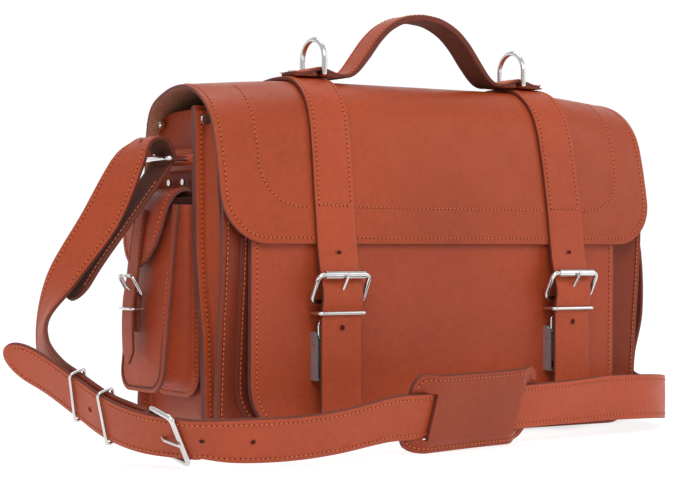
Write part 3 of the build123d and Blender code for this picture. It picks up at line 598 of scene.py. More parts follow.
# ---------------------------------------------------------------- channel gussets
def channel(name, hw, r, near, far, zn, zf, conc, node, body="root", fl=FL, z0=0.0, tip=0.0, dx=0.0, ex=1.0, mat=None):
    """near(x, z), far(x, z): inner faces of the panels it joins; zn, zf: heights of its ends"""
    e = []
    zt = max(zn, zf)
    for i in range(41):
        e.append((-hw, zt - (zt - z0 - r) * i / 40, -1.0, 0.0))
    for t in np.linspace(0, 90, 12)[1:]:
        c, s_ = math.cos(math.radians(t)), math.sin(math.radians(t))
        e.append((-hw + r - r * c, z0 + r - r * s_, -c, -s_))
    for x in np.linspace(-hw + r, hw - r, 60)[1:]:
        e.append((x, z0, 0.0, -1.0))
    for t in np.linspace(0, 90, 12)[1:]:
        c, s_ = math.cos(math.radians(t)), math.sin(math.radians(t))
        e.append((hw - r + r * s_, z0 + r - r * c, s_, -c))
    for i in range(1, 41):
        e.append((hw, z0 + r + (zt - z0 - r) * i / 40, 1.0, 0.0))
    G = []
    for x, z, nx, nz in e:
        row = []
        depth = far(x, z) - near(x, z)
        cc = conc(z)
        q = 2.6 if depth > 20 else 1.6
        sec = [(0.0, 0.0, 0), (fl * 0.5, 0.0, 0), (fl - q, 0.0, 0), (fl - q * 0.3, q * 0.3, 0), (fl, q, 0)]
        web = [(fl + cc * math.sin(math.pi * t), t, 1) for t in (0.12, 0.25, 0.38, 0.5, 0.62, 0.75, 0.88)]
        for ins, a, kind in sec:
            row.append((ins, near(x, z) + G2 + a))
        for ins, t, kind in web:
            row.append((ins, near(x, z) + G2 + q + t * (depth - 2 * G2 - 2 * q)))
        for ins, a, kind in reversed(sec):
            row.append((ins if ins > 0.01 else -tip, far(x, z) - G2 - a))
        out = []
        for ins, y in row:
            f = (y - near(x, z)) / max(depth, 1e-6)
            ztop = zn + (zf - zn) * max(f, 0.0) ** ex
            zz = z
            if abs(nx) > 0.999 and z > z0 + r:
                zz = z0 + r + (z - z0 - r) * (ztop - z0 - r) / (zt - z0 - r)
            out.append((x + dx - nx * ins, y, max(zz - nz * ins, 0.2)))
        G.append(out)
    ob = slab(name, np.array(G), G2, [mat or M_GUSSET, M_EDGE, M_FLESH], w=0.4, out=(-1, 0, 0), at=(14, 8), even=False)
    hide(ob, body, "gusset_leather", node)
    return ob


rear = channel("rear_gusset_sheet", HW, RC, lambda x, z: yD(z) + TK / 2, lambda x, z: yB(min(z, 252)) - TK,
               273, 262, lambda z: 1.2 + 3.0 * smooth((z - 205) / 60), "rear_gusset", ex=8.0)
frontg = channel("front_gusset_sheet", HW, RC, lambda x, z: yF(z) + TK, lambda x, z: yD(z) - TK / 2,
                 236, 272, lambda z: 2.0 + 6.0 * smooth(z / 200), "front_gusset", mat=M_GUSSET_F_LIT)
pockg = channel("pocket_gusset_sheet", 188.0, PR, lambda x, z: yP(x, z) + TK, lambda x, z: front_pt(x, z)[1],
                166, 168, lambda z: 2.5, "pocket_gusset", fl=10.0, tip=5.0, dx=PX, z0=PZ, mat=M_GUSSET_P_SHADE)
# sewn flanges that face the front: on the back panel, on the divider and on the front panel
stitch_on("root", lambda x, z: np.array((x, yB(min(z, 252)) - TK - G2, z)), u_path(HW, 0, 258, RC, 5.0))
stitch_on("root", lambda x, z: np.array((x, yD(z) - TK / 2 - G2, z)), u_path(HW, 0, 270, RC, 5.0))
stitch_on("root", lambda x, z: np.array((x + PX, front_pt(x + PX, z)[1] - G2, z)), u_path(192.0, PZ - 4, 168, PR + 4, 3.6))

# ---------------------------------------------------------------- front straps
FS_Y = [(-52.6, 150), (-54.8, 137), (-56.6, 122), (-57, 100), (-57, 60), (-57, 8)]


def strap_prof(cx, s):
    """meant for the grain-side point of the front strap by length; returns None and is not called"""
    return None


for sgn, nm in ((-1, "left"), (1, "right")):
    cxs, prof = [], []
    s0, s1 = np.interp(70.0, -Mm[9 * ND:, 0] * -1, S_ALL[9 * ND:]) if False else 0, S_END - 6
    # start where the sheet passes y = 70 on top
    kk = [i for i in range(len(Mm)) if Mm[i, 1] > 280 and Mm[i, 0] <= 70][0]
    s0 = S_ALL[kk]
    pts = []
    for s in np.linspace(s0, s1, 60):
        cx = 114.0 + 6.0 * smooth((s - s0) / (s1 - s0))
        p = sheet_pt(sgn * cx, s)
        q = sheet_pt(sgn * cx, s + 1.0) - sheet_pt(sgn * cx, s - 1.0)
        n = np.array((0, q[2], -q[1]))
        n /= np.linalg.norm(n)
        if n[2] < 0 and n[1] > 0:
            n = -n
        pts.append(tuple(p + n * 1.6 * (1 if (n[2] > 0 or n[1] < 0) else -1)) + (1, 0, 0))
    free = catmull([pts[-1][1:3], (-54.2, 150), (-56.6, 140), (-59.2, 131), (-61.4, 123.5), (-61.2, 116), (-59.2, 107), (-58.6, 98), (-58.5, 60), (-58.5, 8)], 9)[1:]
    for y, z in free:
        pts.append((sgn * 120.0, y, z, 1, 0, 0))
    rows = resample(np.array(pts), 3.0)
    # grain side outwards
    P, T, W, N, s = path_frames(rows)
    if N[len(N) // 2][1] > 0:
        rows[:, 3:6] *= -1
    L = s[-1]

    def wf(a, tot):
        d = tot - a
        return math.sqrt(max(1 - ((16 - d) / 16) ** 2, 0.0)) if d < 16 else 1.0
    # denser sections at the rounded tip
    P, T, W, N, s = path_frames(rows)
    tt = np.concatenate([s[s < L - 17], L - 16 * (1 - np.cos(np.radians(np.linspace(90, 2, 12))))])
    dense = np.stack([np.interp(tt, s, rows[:, k]) for k in range(6)], 1)
    ob = strap(nm + "_front_strap_sheet", dense, 38.0, 3.1, [M_STRAP, M_EDGE2, M_FLESH], wf=wf, r=0.8)
    hide(ob, "flap", "strap_leather", nm + "_front_strap")
    P, T, W, N, s = path_frames(dense)
    zc = P[:, 2]
    sew = [i for i in range(len(P)) if not (P[i, 2] < 192 and P[i, 1] < 0)]
    free_i = [i for i in range(len(P)) if P[i, 2] < 192 and P[i, 1] < 0 and P[i, 2] > 160]
    for side in (-1, 1):
        stitch("flap", P[sew] + W[sew] * side * 15.2 + N[sew] * 1.62, N[sew])
    i = sew[-1]
    stitch("flap", np.array([P[i] + W[i] * a + N[i] * 1.85 for a in (-15.2, 0, 15.2)]), np.array([N[i]] * 3))
    stitch("flap", np.array([P[2] + W[2] * a + N[2] * 1.85 for a in (-15.2, 0, 15.2)]), np.array([N[2]] * 3))

# ---------------------------------------------------------------- holes punched through straps
def eyelet(name, c, n, r, body, slot="strap_leather"):
    """punched hole: a shallow cup with a pressed rim, its inside coloured dark as painted shade for the hole"""
    c, n = np.asarray(c, float), np.asarray(n, float) / np.linalg.norm(n)
    a = np.cross(n, (0.0, 0.0, 1.0) if abs(n[2]) < 0.9 else (1.0, 0.0, 0.0))
    a /= np.linalg.norm(a)
    b = np.cross(n, a)
    prof = [(r * 1.28, -0.25), (r * 1.22, 0.02), (r * 1.1, 0.12), (r, 0.02), (r * 0.96, -0.12), (r * 0.6, -0.14), (0.02, -0.14)]
    low = [(0.02, -0.6), (r * 1.28, -0.6)]
    ring = prof + low
    k = 20
    verts, faces, mi = [], [], []
    for q, h in ring:
        for i in range(k):
            an = 2 * math.pi * i / k
            verts.append(c + (a * math.cos(an) + b * math.sin(an)) * q + n * h)
    m = len(ring)
    for j in range(m):
        for i in range(k):
            faces.append((j * k + i, j * k + (i + 1) % k, ((j + 1) % m) * k + (i + 1) % k, ((j + 1) % m) * k + i))
            mi.append(1 if 3 <= j <= 6 else 0)
    ob = link(name, verts, faces, [M_STRAP, M_HOLE_SHADE], mi)
    bake(ob, 60)
    hide(ob, body, slot)
    return ob


for sgn, nm in ((-1, "left"), (1, "right")):
    for i, hz in enumerate((154.5, 94.5)):
        y = np.interp(hz, [60, 100, 122, 137, 150, 156], [-60.1, -60.1, -59.6, -57.9, -55.8, -54.6])
        dy = -0.22 if hz > 140 else 0.0
        eyelet(f"{nm}_strap_hole_{i}", (sgn * 120.0, y - 0.85, hz), (0, -1, dy), 2.3, "flap")

# ---------------------------------------------------------------- leather tabs under the buckles
def loop_profile(points, n=6):
    return catmull(points + [points[0]], n)[:-1]


for sgn, nm in ((-1, "left"), (1, "right")):
    cx = sgn * 120.0
    prof = loop_profile([(-49.1, 115.5), (-50.2, 118.4), (-52.8, 119.2), (-55.6, 118.2), (-56.3, 115.5), (-55.2, 110.5), (-55.0, 104.0), (-54.9, 99.0), (-53.8, 96.4),
                         (-52.0, 95.9), (-50.0, 96.6), (-49.2, 99.0), (-49.6, 106.0)])
    ob = prism(nm + "_buckle_tab", prof, cx - 14.0, cx + 14.0, "x", [M_STRAP, M_EDGE2], w=0.5)
    hide(ob, "flap", "strap_leather", *(["buckle_tabs"] if sgn < 0 else []))

# ---------------------------------------------------------------- handle
top = [(-131, 305.0), (-122, 305.1), (-112, 307.9), (-105, 309.6), (-98, 307.9), (-88, 305.0), (-78, 305.4), (-70, 311.0),
       (-60, 323.5), (-48, 338.5), (-35, 349.8), (-18, 357.6), (0, 360.0)]
hh = catmull(top, 7)
full = np.concatenate([hh, (hh * (-1, 1))[::-1][1:]])
thk = np.interp(np.abs(full[:, 0]), [0, 60, 84, 140], [5.4, 5.4, 3.0, 3.0])
ctr = offset2(full, -0.5) if False else full
nn = offset2(full, 1.0) - full
cen = full - nn * (thk / 2)[:, None]
rows = np.array([(c[0], 7.0, c[1], 0, -1, 0) for c in cen])
P, T, W, N, s = path_frames(rows)
if N[len(N) // 2][2] < 0:
    rows[:, 3:6] *= -1


def hwf(a, tot):
    d = min(a, tot - a)
    e = math.sqrt(max(1 - ((10 - d) / 10) ** 2, 0.0)) * 0.5 + 0.5 if d < 10 else 1.0
    return e


P, T, W, N, s = path_frames(rows)
ob = strap("handle_strap", rows, 28.0, 1.0, [M_STRAP, M_EDGE2, M_FLESH], wf=hwf,
           tf=lambda a, tot: float(np.interp(a, s, thk)), r=1.3, crown=0.35)
hide(ob, "flap", "strap_leather", "carry_handle")
P, T, W, N, s = path_frames(rows)
for side in (-1, 1):
    stitch("flap", P + W * side * 10.6 + N * (thk / 2 + 0.1)[:, None], N, pitch=4.2)
for sgn in (-1, 1):
    for x0, x1, nm in ((86.0, 99.6, "inner"), (110.4, 130.0, "outer")):
        a = [(sgn * x0, 302.1), (sgn * x1, 302.1)]
        if nm == "inner":
            prof = [(sgn * 86, 301.6), (sgn * 99.8, 301.6), (sgn * 100.6, 304.0), (sgn * 98.0, 305.1), (sgn * 92, 303.2), (sgn * 87, 302.6)]
        else:
            prof = [(sgn * 130, 301.6), (sgn * 110.2, 301.6), (sgn * 109.4, 304.0), (sgn * 112.0, 305.1), (sgn * 118, 303.0), (sgn * 129, 302.6)]
        ob = prism(f"handle_base_{nm}_{'l' if sgn < 0 else 'r'}", [(p[0], p[1]) for p in prof], -7.0, 21.0, "y", [M_STRAP, M_EDGE2], w=0.3)
        hide(ob, "flap", "strap_leather")

# ---------------------------------------------------------------- side pockets
D0, D1, Z0, Z1 = 34.0, 20.0, 44.0, 196.0


def lean(z):
    return WX + D0 - (D0 - D1) * (z - Z0) / (Z1 - Z0)


for sgn, nm in ((-1, "left"), (1, "right")):
    def side_pt(y, z, sgn=sgn):
        c = max(0.0, 1 - ((y) / 38.0) ** 2) * max(0.0, math.sin(math.pi * min(max((z - 40) / 160.0, 0), 1)))
        return np.array((sgn * (lean(z) + 4.2 * c), SIDE_Y + y, z))
    G = panel_grid(side_pt, 38.0, 41.0, 194.0, 19.0, nx=22, nz=24)
    ob = slab(nm + "_pocket_front", G, TK, [M_SIDE, M_EDGE, M_FLESH], w=0.7, out=(sgn, 0, 0))
    hide(ob, "root", "side_leather", nm + "_side_panel")
    stitch_on("root", side_pt, [(x, z) for x, z in u_path(38.0, 41.0, 192.0, 19.0, 4.6, n=8)], (sgn, 0, 0))
    # U-shaped wall of the pocket, with a sewn flange on the side of the bag and one behind its front
    e = []
    r, hw, zt = 16.0, SIDE_W / 2, 194.0
    for i in range(31):
        e.append((-hw, zt - (zt - Z0 - r) * i / 30, -1.0, 0.0))
    for t in np.linspace(0, 90, 10)[1:]:
        c, s_ = math.cos(math.radians(t)), math.sin(math.radians(t))
        e.append((-hw + r - r * c, Z0 + r - r * s_, -c, -s_))
    for y in np.linspace(-hw + r, hw - r, 12)[1:]:
        e.append((y, Z0, 0.0, -1.0))
    for t in np.linspace(0, 90, 10)[1:]:
        c, s_ = math.cos(math.radians(t)), math.sin(math.radians(t))
        e.append((hw - r + r * s_, Z0 + r - r * c, s_, -c))
    for i in range(1, 31):
        e.append((hw, Z0 + r + (zt - Z0 - r) * i / 30, 1.0, 0.0))
    G = []
    for y, z, ny, nz in e:
        row = []
        x1 = lean(max(z, 44.0)) - TK * 0 - 0.2
        sec = [(8.0, WX + G2), (4.0, WX + G2), (1.6, WX + G2 + 0.3), (0.3, WX + G2 + 1.5), (0.0, WX + G2 + 3.2)]
        for a in (0.2, 0.4, 0.6, 0.8):
            sec.append((-2.4 * math.sin(math.pi * a), WX + G2 + 3.2 + (x1 - WX - G2 - 3.2) * a))
        sec.append((0.0, x1 - 0.6))
        sec.append((0.8, x1 - 0.05))
        for o, xx in sec:
            yy = y + ny * o
            if yy + SIDE_Y > 96.0:
                yy = 96.0 - SIDE_Y
            if yy + SIDE_Y < 11.5:
                yy = 11.5 - SIDE_Y
            row.append((sgn * xx, SIDE_Y + yy, z + nz * o))
        G.append(row)
    ob = slab(nm + "_pocket_sides", np.array(G), G2, [M_SIDE, M_EDGE, M_FLESH], w=0.4, out=(0, -1, 0), at=(12, 6), even=False)
    hide(ob, "root", "side_leather", nm + "_pocket_wall")
    fr = []
    for y, z, ny, nz in e:
        fr.append((sgn * (WX + G2), min(max(SIDE_Y + y + ny * 4.6, 13.0), 95.0), z + nz * 4.6))
    stitch("root", np.array(fr), np.array([(sgn, 0, 0)] * len(fr)))
    # flap of the pocket
    ctrl = [(WX + 0.2, 202.0), (WX + 3.0, 205.5), (WX + 9, 207.6), (WX + 17, 206.5), (WX + 25, 201), (WX + 30.5, 191), (WX + 34, 176), (WX + 36.5, 160), (WX + 38.5, 142.5)]
    pr = catmull(ctrl, 8)
    ss = np.concatenate([[0], np.cumsum(np.linalg.norm(np.diff(pr, axis=0), axis=1))])
    tot = ss[-1]

    def fw(d):          # half width by distance from the tip
        return float(np.interp(d, [0, 0.6, 2.5, 6, 11, 19, 30, 44, 60, 200], [0.5, 5.0, 10.5, 16.5, 22, 28, 32.5, 35.2, 36, 36]))

    def sflap_pt(y, s, sgn=sgn):
        x = np.interp(s, ss, pr[:, 0])
        z = np.interp(s, ss, pr[:, 1])
        dr = 1.6 * (y / 36.0) ** 2 * smooth(s / 30)
        return np.array((sgn * (x - dr), SIDE_Y + y, z))
    sv = list(np.linspace(0, tot - 20, 26)) + [tot - 20 + 20 * math.sin(math.radians(t)) for t in np.linspace(0, 90, 14)[1:]]
    G = np.array([[sflap_pt(y * fw(tot - s), s) for y in np.linspace(-1, 1, 23)] for s in sv])
    ob = slab(nm + "_pocket_flap", G, 2.7, [M_SIDE, M_EDGE, M_FLESH], w=0.6, out=(sgn, 0, 0), at=(20, 11))
    hide(ob, nm + "_pocket_flap", "side_leather", nm + "_side_flap")
    pa = [(-(fw(d) - 4.5), tot - d) for d in np.linspace(88, 6, 50)]
    pa += [(x, tot - 4.8 - 0.02 * x * x * 0.1) for x in np.linspace(-(fw(6) - 4.5), fw(6) - 4.5, 10)[1:]]
    pa += [((fw(d) - 4.5), tot - d) for d in np.linspace(6, 88, 50)[1:]]
    stitch_on(nm + "_pocket_flap", sflap_pt, pa, (sgn, 0, 0))
    # narrow strap
    sp = [tuple(p) for p in pr if p[1] < 190][::3]
    base = np.array([(x + 1.35, z) for x, z in sp])
    rest = np.array([(WX + 41.2, 132), (WX + 43.6, 120), (WX + 44.6, 110), (WX + 45.1, 92), (WX + 44.1, 63.8)])
    cp = catmull([tuple(p) for p in base[:-1]] + [tuple(p) for p in rest], 5)
    rows = resample(np.array([(sgn * x, SIDE_Y, z, 0, -sgn, 0) for x, z in cp]), 2.0)
    P, T, W, N, s = path_frames(rows)
    if N[len(N) // 2][0] * sgn < 0:
        rows[:, 3:6] *= -1
    P, T, W, N, s = path_frames(rows)
    L = s[-1]
    tt = np.concatenate([s[s < L - 12], L - 11 * (1 - np.cos(np.radians(np.linspace(90, 2, 10))))])
    dense = np.stack([np.interp(tt, s, rows[:, k]) for k in range(6)], 1)

    def nwf(a, tot_):
        d = tot_ - a
        return (0.12 + 0.88 * smooth(d / 13.0) ** 0.7) if d < 13 else 1.0
    ob = strap(nm + "_narrow_strap", dense, 19.0, 2.3, [M_STRAP, M_EDGE2, M_FLESH], wf=nwf, r=0.6, crown=0.15)
    hide(ob, nm + "_pocket_flap", "strap_leather", nm + "_side_strap")
    P, T, W, N, s = path_frames(dense)
    for side in (-1, 1):
        sel = [i for i in range(len(P)) if P[i, 2] > 146]
        stitch(nm + "_pocket_flap", P[sel] + W[sel] * side * 7.0 + N[sel] * 1.25, N[sel], pitch=3.6, rad=0.36)
    for i, hz2 in enumerate((108.0, 92.0)):
        x = np.interp(hz2, [92, 110], [46.3, 45.8])
        eyelet(f"{nm}_narrow_hole_{i}", (sgn * (WX + x + 0.1), SIDE_Y, hz2), (sgn, 0, 0), 1.5, nm + "_pocket_flap")
    # tab behind the small buckle
    prof = loop_profile([(sgn * (WX + x), z) for x, z in ((35.3, 120), (36.2, 122.4), (38.2, 123.0), (40.4, 122.2), (41.0, 120), (40.4, 112), (40.0, 92), (38.6, 90.8), (37.3, 92), (36.4, 112))])
    ob = prism(nm + "_narrow_tab", prof, SIDE_Y - 7.6, SIDE_Y + 7.6, "y", [M_STRAP, M_EDGE2], w=0.35)
    hide(ob, nm + "_pocket_flap", "strap_leather", nm + "_side_tab")
    # tab that holds the side buckle
    prof = loop_profile([(sgn * (WX + x), z) for x, z in ((-3.0, 222), (1.0, 221.6), (2.7, 223), (3.6, 226.5), (7.0, 226.9), (10.0, 229.0), (10.3, 232.6), (8.0, 235.0), (3.8, 236), (2.7, 239), (1.0, 240.4),
                                                                (-3.0, 240))])
    ob = prism(nm + "_ring_tab_leather", prof, SIDE_Y - 46.0 + 0, SIDE_Y + 20.0, "y", [M_SIDE, M_EDGE], w=0.4)
    hide(ob, "root", "strap_leather", *(["ring_tabs"] if sgn < 0 else []))

# ---------------------------------------------------------------- shoulder strap
B_PTS = [(-369, 38, 77), (-352, 8, 64), (-339, -29, 46), (-334, -70, 32.8), (-325, -108, 25.2), (-309, -143, 22.4), (-299, -155.5, 22.2), (-274, -164, 20.6), (-232, -166, 20.0),
         (-190, -165, 22.8), (-142, -159.7, 29.0), (-114, -156, 29.5), (-63, -149.3, 30.3), (-12, -142.7, 31.2), (39, -136, 32), (72, -131, 32.5), (101, -126.5, 33), (139, -120, 32),
         (170, -110, 30.5), (196, -93, 28), (214, -68, 25.5), (227, -38, 23.5), (238, -6, 24.5), (252, 22, 31), (267, 42, 55), (280, 47, 98), (276.5, 45.5, 156),
         (259, 42, 208), (250, 40.5, 237), (240.5, 40, 247.5), (232.5, 40, 243), (229.5, 40, 230), (240, 40.5, 205), (256, 43, 173), (264, 46, 143)]
B_W = [(-.26, -.6, .76), (-.26, -.6, .76), (-.26, -.57, .78), (-.27, -.53, .8), (-.29, -.56, .78), (-.3, -.6, .75), (-.27, -.57, .78), (-.17, -.48, .86), (-.1, -.45, .87),
       (-.05, -.42, .9), (0, -.35, .93), (0, -.34, .93), (0, -.33, .94), (0, -.32, .95), (0, -.3, .95), (0, -.2, .97), (0, -.1, .99), (0, -.05, 1),
       (0, 0, 1), (0, 0, 1), (0, 0, 1), (0, 0, 1), (0, -.25, .96), (0, -.7, .7), (0, -.95, .3), (0, -1, .1), (0, -1, 0),
       (0, -1, 0), (0, -1, 0), (0, -1, 0), (0, -1, 0), (0, -1, 0), (0, -1, 0), (0, -1, 0), (0, -1, 0)]


def rows_of(pts, wd, n):
    return catmull([tuple(p) + tuple(w) for p, w in zip(pts, wd)], n)


def cad_frames(pts, wd, n=2):
    """the same sections as the solid's, for the pieces that sit on the strap"""
    rows = rows_of(pts, wd, n)
    out = []
    for i in range(len(rows)):
        t = rows[min(i + 1, len(rows) - 1)][:3] - rows[max(i - 1, 0)][:3]
        t = t / np.linalg.norm(t)
        w = rows[i][3:6] / np.linalg.norm(rows[i][3:6])
        w = w - t * (w @ t)
        w /= np.linalg.norm(w)
        out.append((rows[i][:3], t, w, np.cross(t, w)))
    return out


FR = cad_frames(B_PTS, B_W)


def ends(front, back):
    def f(a, tot):
        if a < front[0]:
            return front[1](a / front[0])
        if tot - a < back[0]:
            return back[1]((tot - a) / back[0])
        return 1.0
    return f


def dense_ends(rows, a, b):
    P, T, W, N, s = path_frames(rows)
    L = s[-1]
    tt = np.concatenate([a * (1 - np.cos(np.radians(np.linspace(2, 90, 12)))), s[(s > a) & (s < L - b)], L - b * (1 - np.cos(np.radians(np.linspace(90, 2, 12))))])
    return np.stack([np.interp(tt, s, rows[:, k]) for k in range(6)], 1)


pointed = lambda t: 0.16 + 0.84 * float(smooth(t)) ** 0.75
tongue = lambda t: 0.1 + 0.9 * max(1 - (1 - t) ** 2.2, 0.0) ** 0.55
roundy = lambda t: math.sqrt(max(1 - (1 - t) ** 2, 0.0)) if t > 0 else 0.0
rB = resample(rows_of(B_PTS, B_W, 10), 3.0)
dB = dense_ends(rB, 30.0, 17.0)
ob = strap("shoulder_strap_long", dB, 38.0, 3.2, [M_STRAP, M_EDGE2, M_FLESH], wf=ends((30.0, tongue), (17.0, roundy)), r=0.8)
hide(ob, "root", "strap_leather", "strap_long")
P, T, W, N, s = path_frames(dB)
sel = [i for i in range(len(P)) if 21 < s[i] < s[-1] - 12]
for side in (-1, 1):
    stitch("root", P[sel] + W[sel] * side * 14.8 + N[sel] * 1.7, N[sel])
    tail = [i for i in sel if s[i] > s[-1] - 130]
    stitch("root", P[tail] + W[tail] * side * 14.8 - N[tail] * 1.62, -N[tail])
# stitches across the pointed end
tip = [(21, 14.8), (14, 12.2), (8.5, 8.2), (5.6, 3.8), (5.0, 0.0), (5.6, -3.8), (8.5, -8.2), (14, -12.2), (21, -14.8)]
stitch("root", np.array([[np.interp(a, s, P[:, k]) for k in range(3)] + W[5] * b + N[5] * 1.7 for a, b in tip]), np.array([N[5]] * len(tip)))
HOLE_S = []
for i, u in enumerate((217.0, 254.0, 103.0)):
    q = [np.interp(u, s, a[:, k]) for a in (P, N) for k in range(3)]
    eyelet(f"strap_hole_{i}", np.array(q[:3]) + np.array(q[3:]) * 2.15, q[3:], 2.0, "root")

E, ET, EW, EN = FR[10]
bt = -ET
ax_heel = E + bt * 24 - EN * 5.5
k1, k2, kb = FR[4], FR[6], FR[8]
A_PTS = [(-308, 49, 117), (-290, 48, 145), (-267, 44, 177), (-244.5, 41, 208), (-229.5, 40, 230), (-232.5, 40, 243), (-240.5, 40, 247.5), (-249.5, 40.5, 243),
         (-261, 42, 226), (-283, 45, 182), (-312, 50, 138), (-331, 48, 102), (-337, 34, 76), (-335.5, 6, 58)]
A_W = [(0, -1, 0), (0, -1, 0), (0, -1, 0), (0, -1, 0), (0, -1, 0), (0, -1, 0), (0, -1, 0), (0, -1, 0), (.3, -.95, -.1), (.55, -.83, 0), (.35, -.93, 0),
       (-.15, -.95, .2), (-.2, -.75, .62), (-.24, -.62, .75)]
for f in (k1, k2):
    A_PTS.append(tuple(f[0] - f[3] * 5.6))
    A_W.append(tuple(f[2]))
A_PTS.append(tuple(kb[0] - kb[3] * 6.6 - kb[1] * 8))
A_W.append(tuple(kb[2]))
A_PTS.append(tuple(ax_heel + bt * 3.4 - EN * 0.6))
A_W.append(tuple(EW))
rA = resample(rows_of(A_PTS, A_W, 10), 3.0)
dA = dense_ends(rA, 17.0, 3.0)
ob = strap("shoulder_strap_short", dA, 38.0, 3.2, [M_STRAP, M_EDGE2, M_FLESH], wf=ends((17.0, roundy), (0.1, lambda t: 1.0)), r=0.8)
hide(ob, "root", "strap_leather", "strap_short")
P, T, W, N, s = path_frames(dA)
sel = [i for i in range(len(P)) if 12 < s[i] < s[-1] - 4]
for side in (-1, 1):
    stitch("root", P[sel] + W[sel] * side * 14.8 + N[sel] * 1.7, N[sel])
    tail = [i for i in sel if s[i] < 120]
    stitch("root", P[tail] + W[tail] * side * 14.8 - N[tail] * 1.62, -N[tail])
for i, u in enumerate((96.0, 112.0, 135.0, 170.0)):
    q = [np.interp(u, s, a[:, k]) for a in (P, N) for k in range(3)]
    eyelet(f"short_strap_hole_{i}", np.array(q[:3]) + np.array(q[3:]) * 2.15, q[3:], 2.0, "root")
# fold of the short strap round the buckle's heel bar
c0 = ax_heel
prof = []
for t in np.linspace(-110, 110, 16):
    a = math.radians(t)
    prof.append(c0 + (-bt * math.cos(a) + EN * math.sin(a)) * 3.9)
seg = [c0 + bt * 5.0 + EN * 3.2] + [c0 + bt * 5.0 - EN * 3.4]
verts, faces, mi = [], [], []
loop = prof + [seg[0], seg[1]]
for side in (-18.6, 18.6):
    for p in loop:
        verts.append(p + EW * side)
k = len(loop)
for j in range(k):
    faces.append((j, (j + 1) % k, k + (j + 1) % k, k + j))
    mi.append(0)
faces += [tuple(range(k)), tuple(range(k, 2 * k))]
mi += [1, 1]
ob = bevel(link("short_strap_fold", verts, faces, [M_STRAP, M_EDGE2], mi), 0.5)
hide(ob, "root", "strap_leather")

# ---------------------------------------------------------------- shoulder pad
pt = np.array((39.0, -136, 32)) - np.array((-114.0, -156, 29.5))
pt /= np.linalg.norm(pt)
pm = np.array((-37.5, -146.0, 30.75)) - pt * 18.0
pw = np.array((0, -.325, .945))
pw = pw - pt * (pw @ pt)
pw /= np.linalg.norm(pw)
pn = np.cross(pt, pw)
PL, PH = 68.0, 32.5
SLOT = 47.0


def pad_off(u, w):
    au, aw = abs(u), abs(w)
    mid = 5.6
    endo = -2.3
    if aw < 19.5:
        f = 1.0 if au < SLOT + 1.2 else 0.0
        return mid if f else endo
    t = smooth((au - (SLOT - 3)) / 18.0)
    o = mid * (1 - t) + endo * t
    k_ = smooth((aw - 19.5) / 9.0)
    return o - 1.6 * k_ * (1 - t)


def pad_up(w):
    return 1.8 * smooth((abs(w) - 19.5) / 8.0)


def pad_pt(u, w):
    return pm + pt * u + pw * (w + pad_up(w)) + pn * pad_off(u, w)


us = sorted(set([round(v, 2) for v in list(np.linspace(-PL, -SLOT - 2.4, 12)) + list(np.linspace(-SLOT, SLOT, 40)) + list(np.linspace(SLOT + 2.4, PL, 12))]))
ws = sorted(set([round(v, 2) for v in list(np.linspace(-PH, -19.5, 7)) + list(np.linspace(-19.5, 19.5, 18)) + list(np.linspace(19.5, PH, 7))]))
RR = 15.0
G, drop = [], set()
for i, w in enumerate(ws):
    row = []
    for j, u in enumerate(us):
        au, aw = abs(u), abs(w)
        uu_, ww_ = u, w
        # round the corners by pulling the outer grid in
        if au > PL - RR and aw > PH - RR:
            a, b = (au - (PL - RR)) / RR, (aw - (PH - RR)) / RR
            # map the square corner to the quarter disc
            uu_ = math.copysign(PL - RR + RR * a * math.sqrt(max(1 - b * b / 2, 0)), u)
            ww_ = math.copysign(PH - RR + RR * b * math.sqrt(max(1 - a * a / 2, 0)), w)
        # sides pull in a little between the corners
        if aw > 19.5:
            ww_ = ww_ - math.copysign(0.6 * math.cos(math.pi * u / (2 * PL)), w)
        row.append(pm + pt * uu_ + pw * (ww_ + pad_up(w)) + pn * pad_off(u, w))
    G.append(row)
for i in range(len(ws) - 1):
    for j in range(len(us) - 1):
        um, wm = abs(us[j] + us[j + 1]) / 2, abs(ws[i] + ws[i + 1]) / 2
        if SLOT < um < SLOT + 2.4 and wm < 19.5:
            drop.add((i, j))
pad = slab("shoulder_pad_leather", np.array(G), 3.4, [M_PAD, M_EDGE2, M_FLESH], drop=drop, w=0.8, out=pn, even=False)
hide(pad, "pad", "strap_leather", "shoulder_pad")
per = []
A_, B_, r_ = PL - 4.2, PH - 4.2, 11.0
for cx, cy, a0 in ((A_ - r_, B_ - r_, 0), (-A_ + r_, B_ - r_, 90), (-A_ + r_, -B_ + r_, 180), (A_ - r_, -B_ + r_, 270)):
    for t in np.linspace(0, 90, 10):
        a = math.radians(a0 + t)
        per.append((cx + r_ * math.cos(a), cy + r_ * math.sin(a)))
per.append(per[0])
per = resample(np.array([(a, b, 0) for a, b in per]), 2.0)[:, :2]
runs, cur = [], []
for u, w in per:
    if abs(w) > 21.5 or True:
        cur.append((u, w))
pts_ = np.array([pad_pt(u, w) for u, w in cur])
vis = [i for i, (u, w) in enumerate(cur) if abs(w) > 20.8]
# four stretches, clear of the strap
grp = []
for i in vis:
    if grp and i == grp[-1][-1] + 1:
        grp[-1].append(i)
    else:
        grp.append([i])
for g in grp:
    if len(g) > 2:
        stitch("pad", pts_[g] + pn * 0.02, np.array([pn] * len(g)))


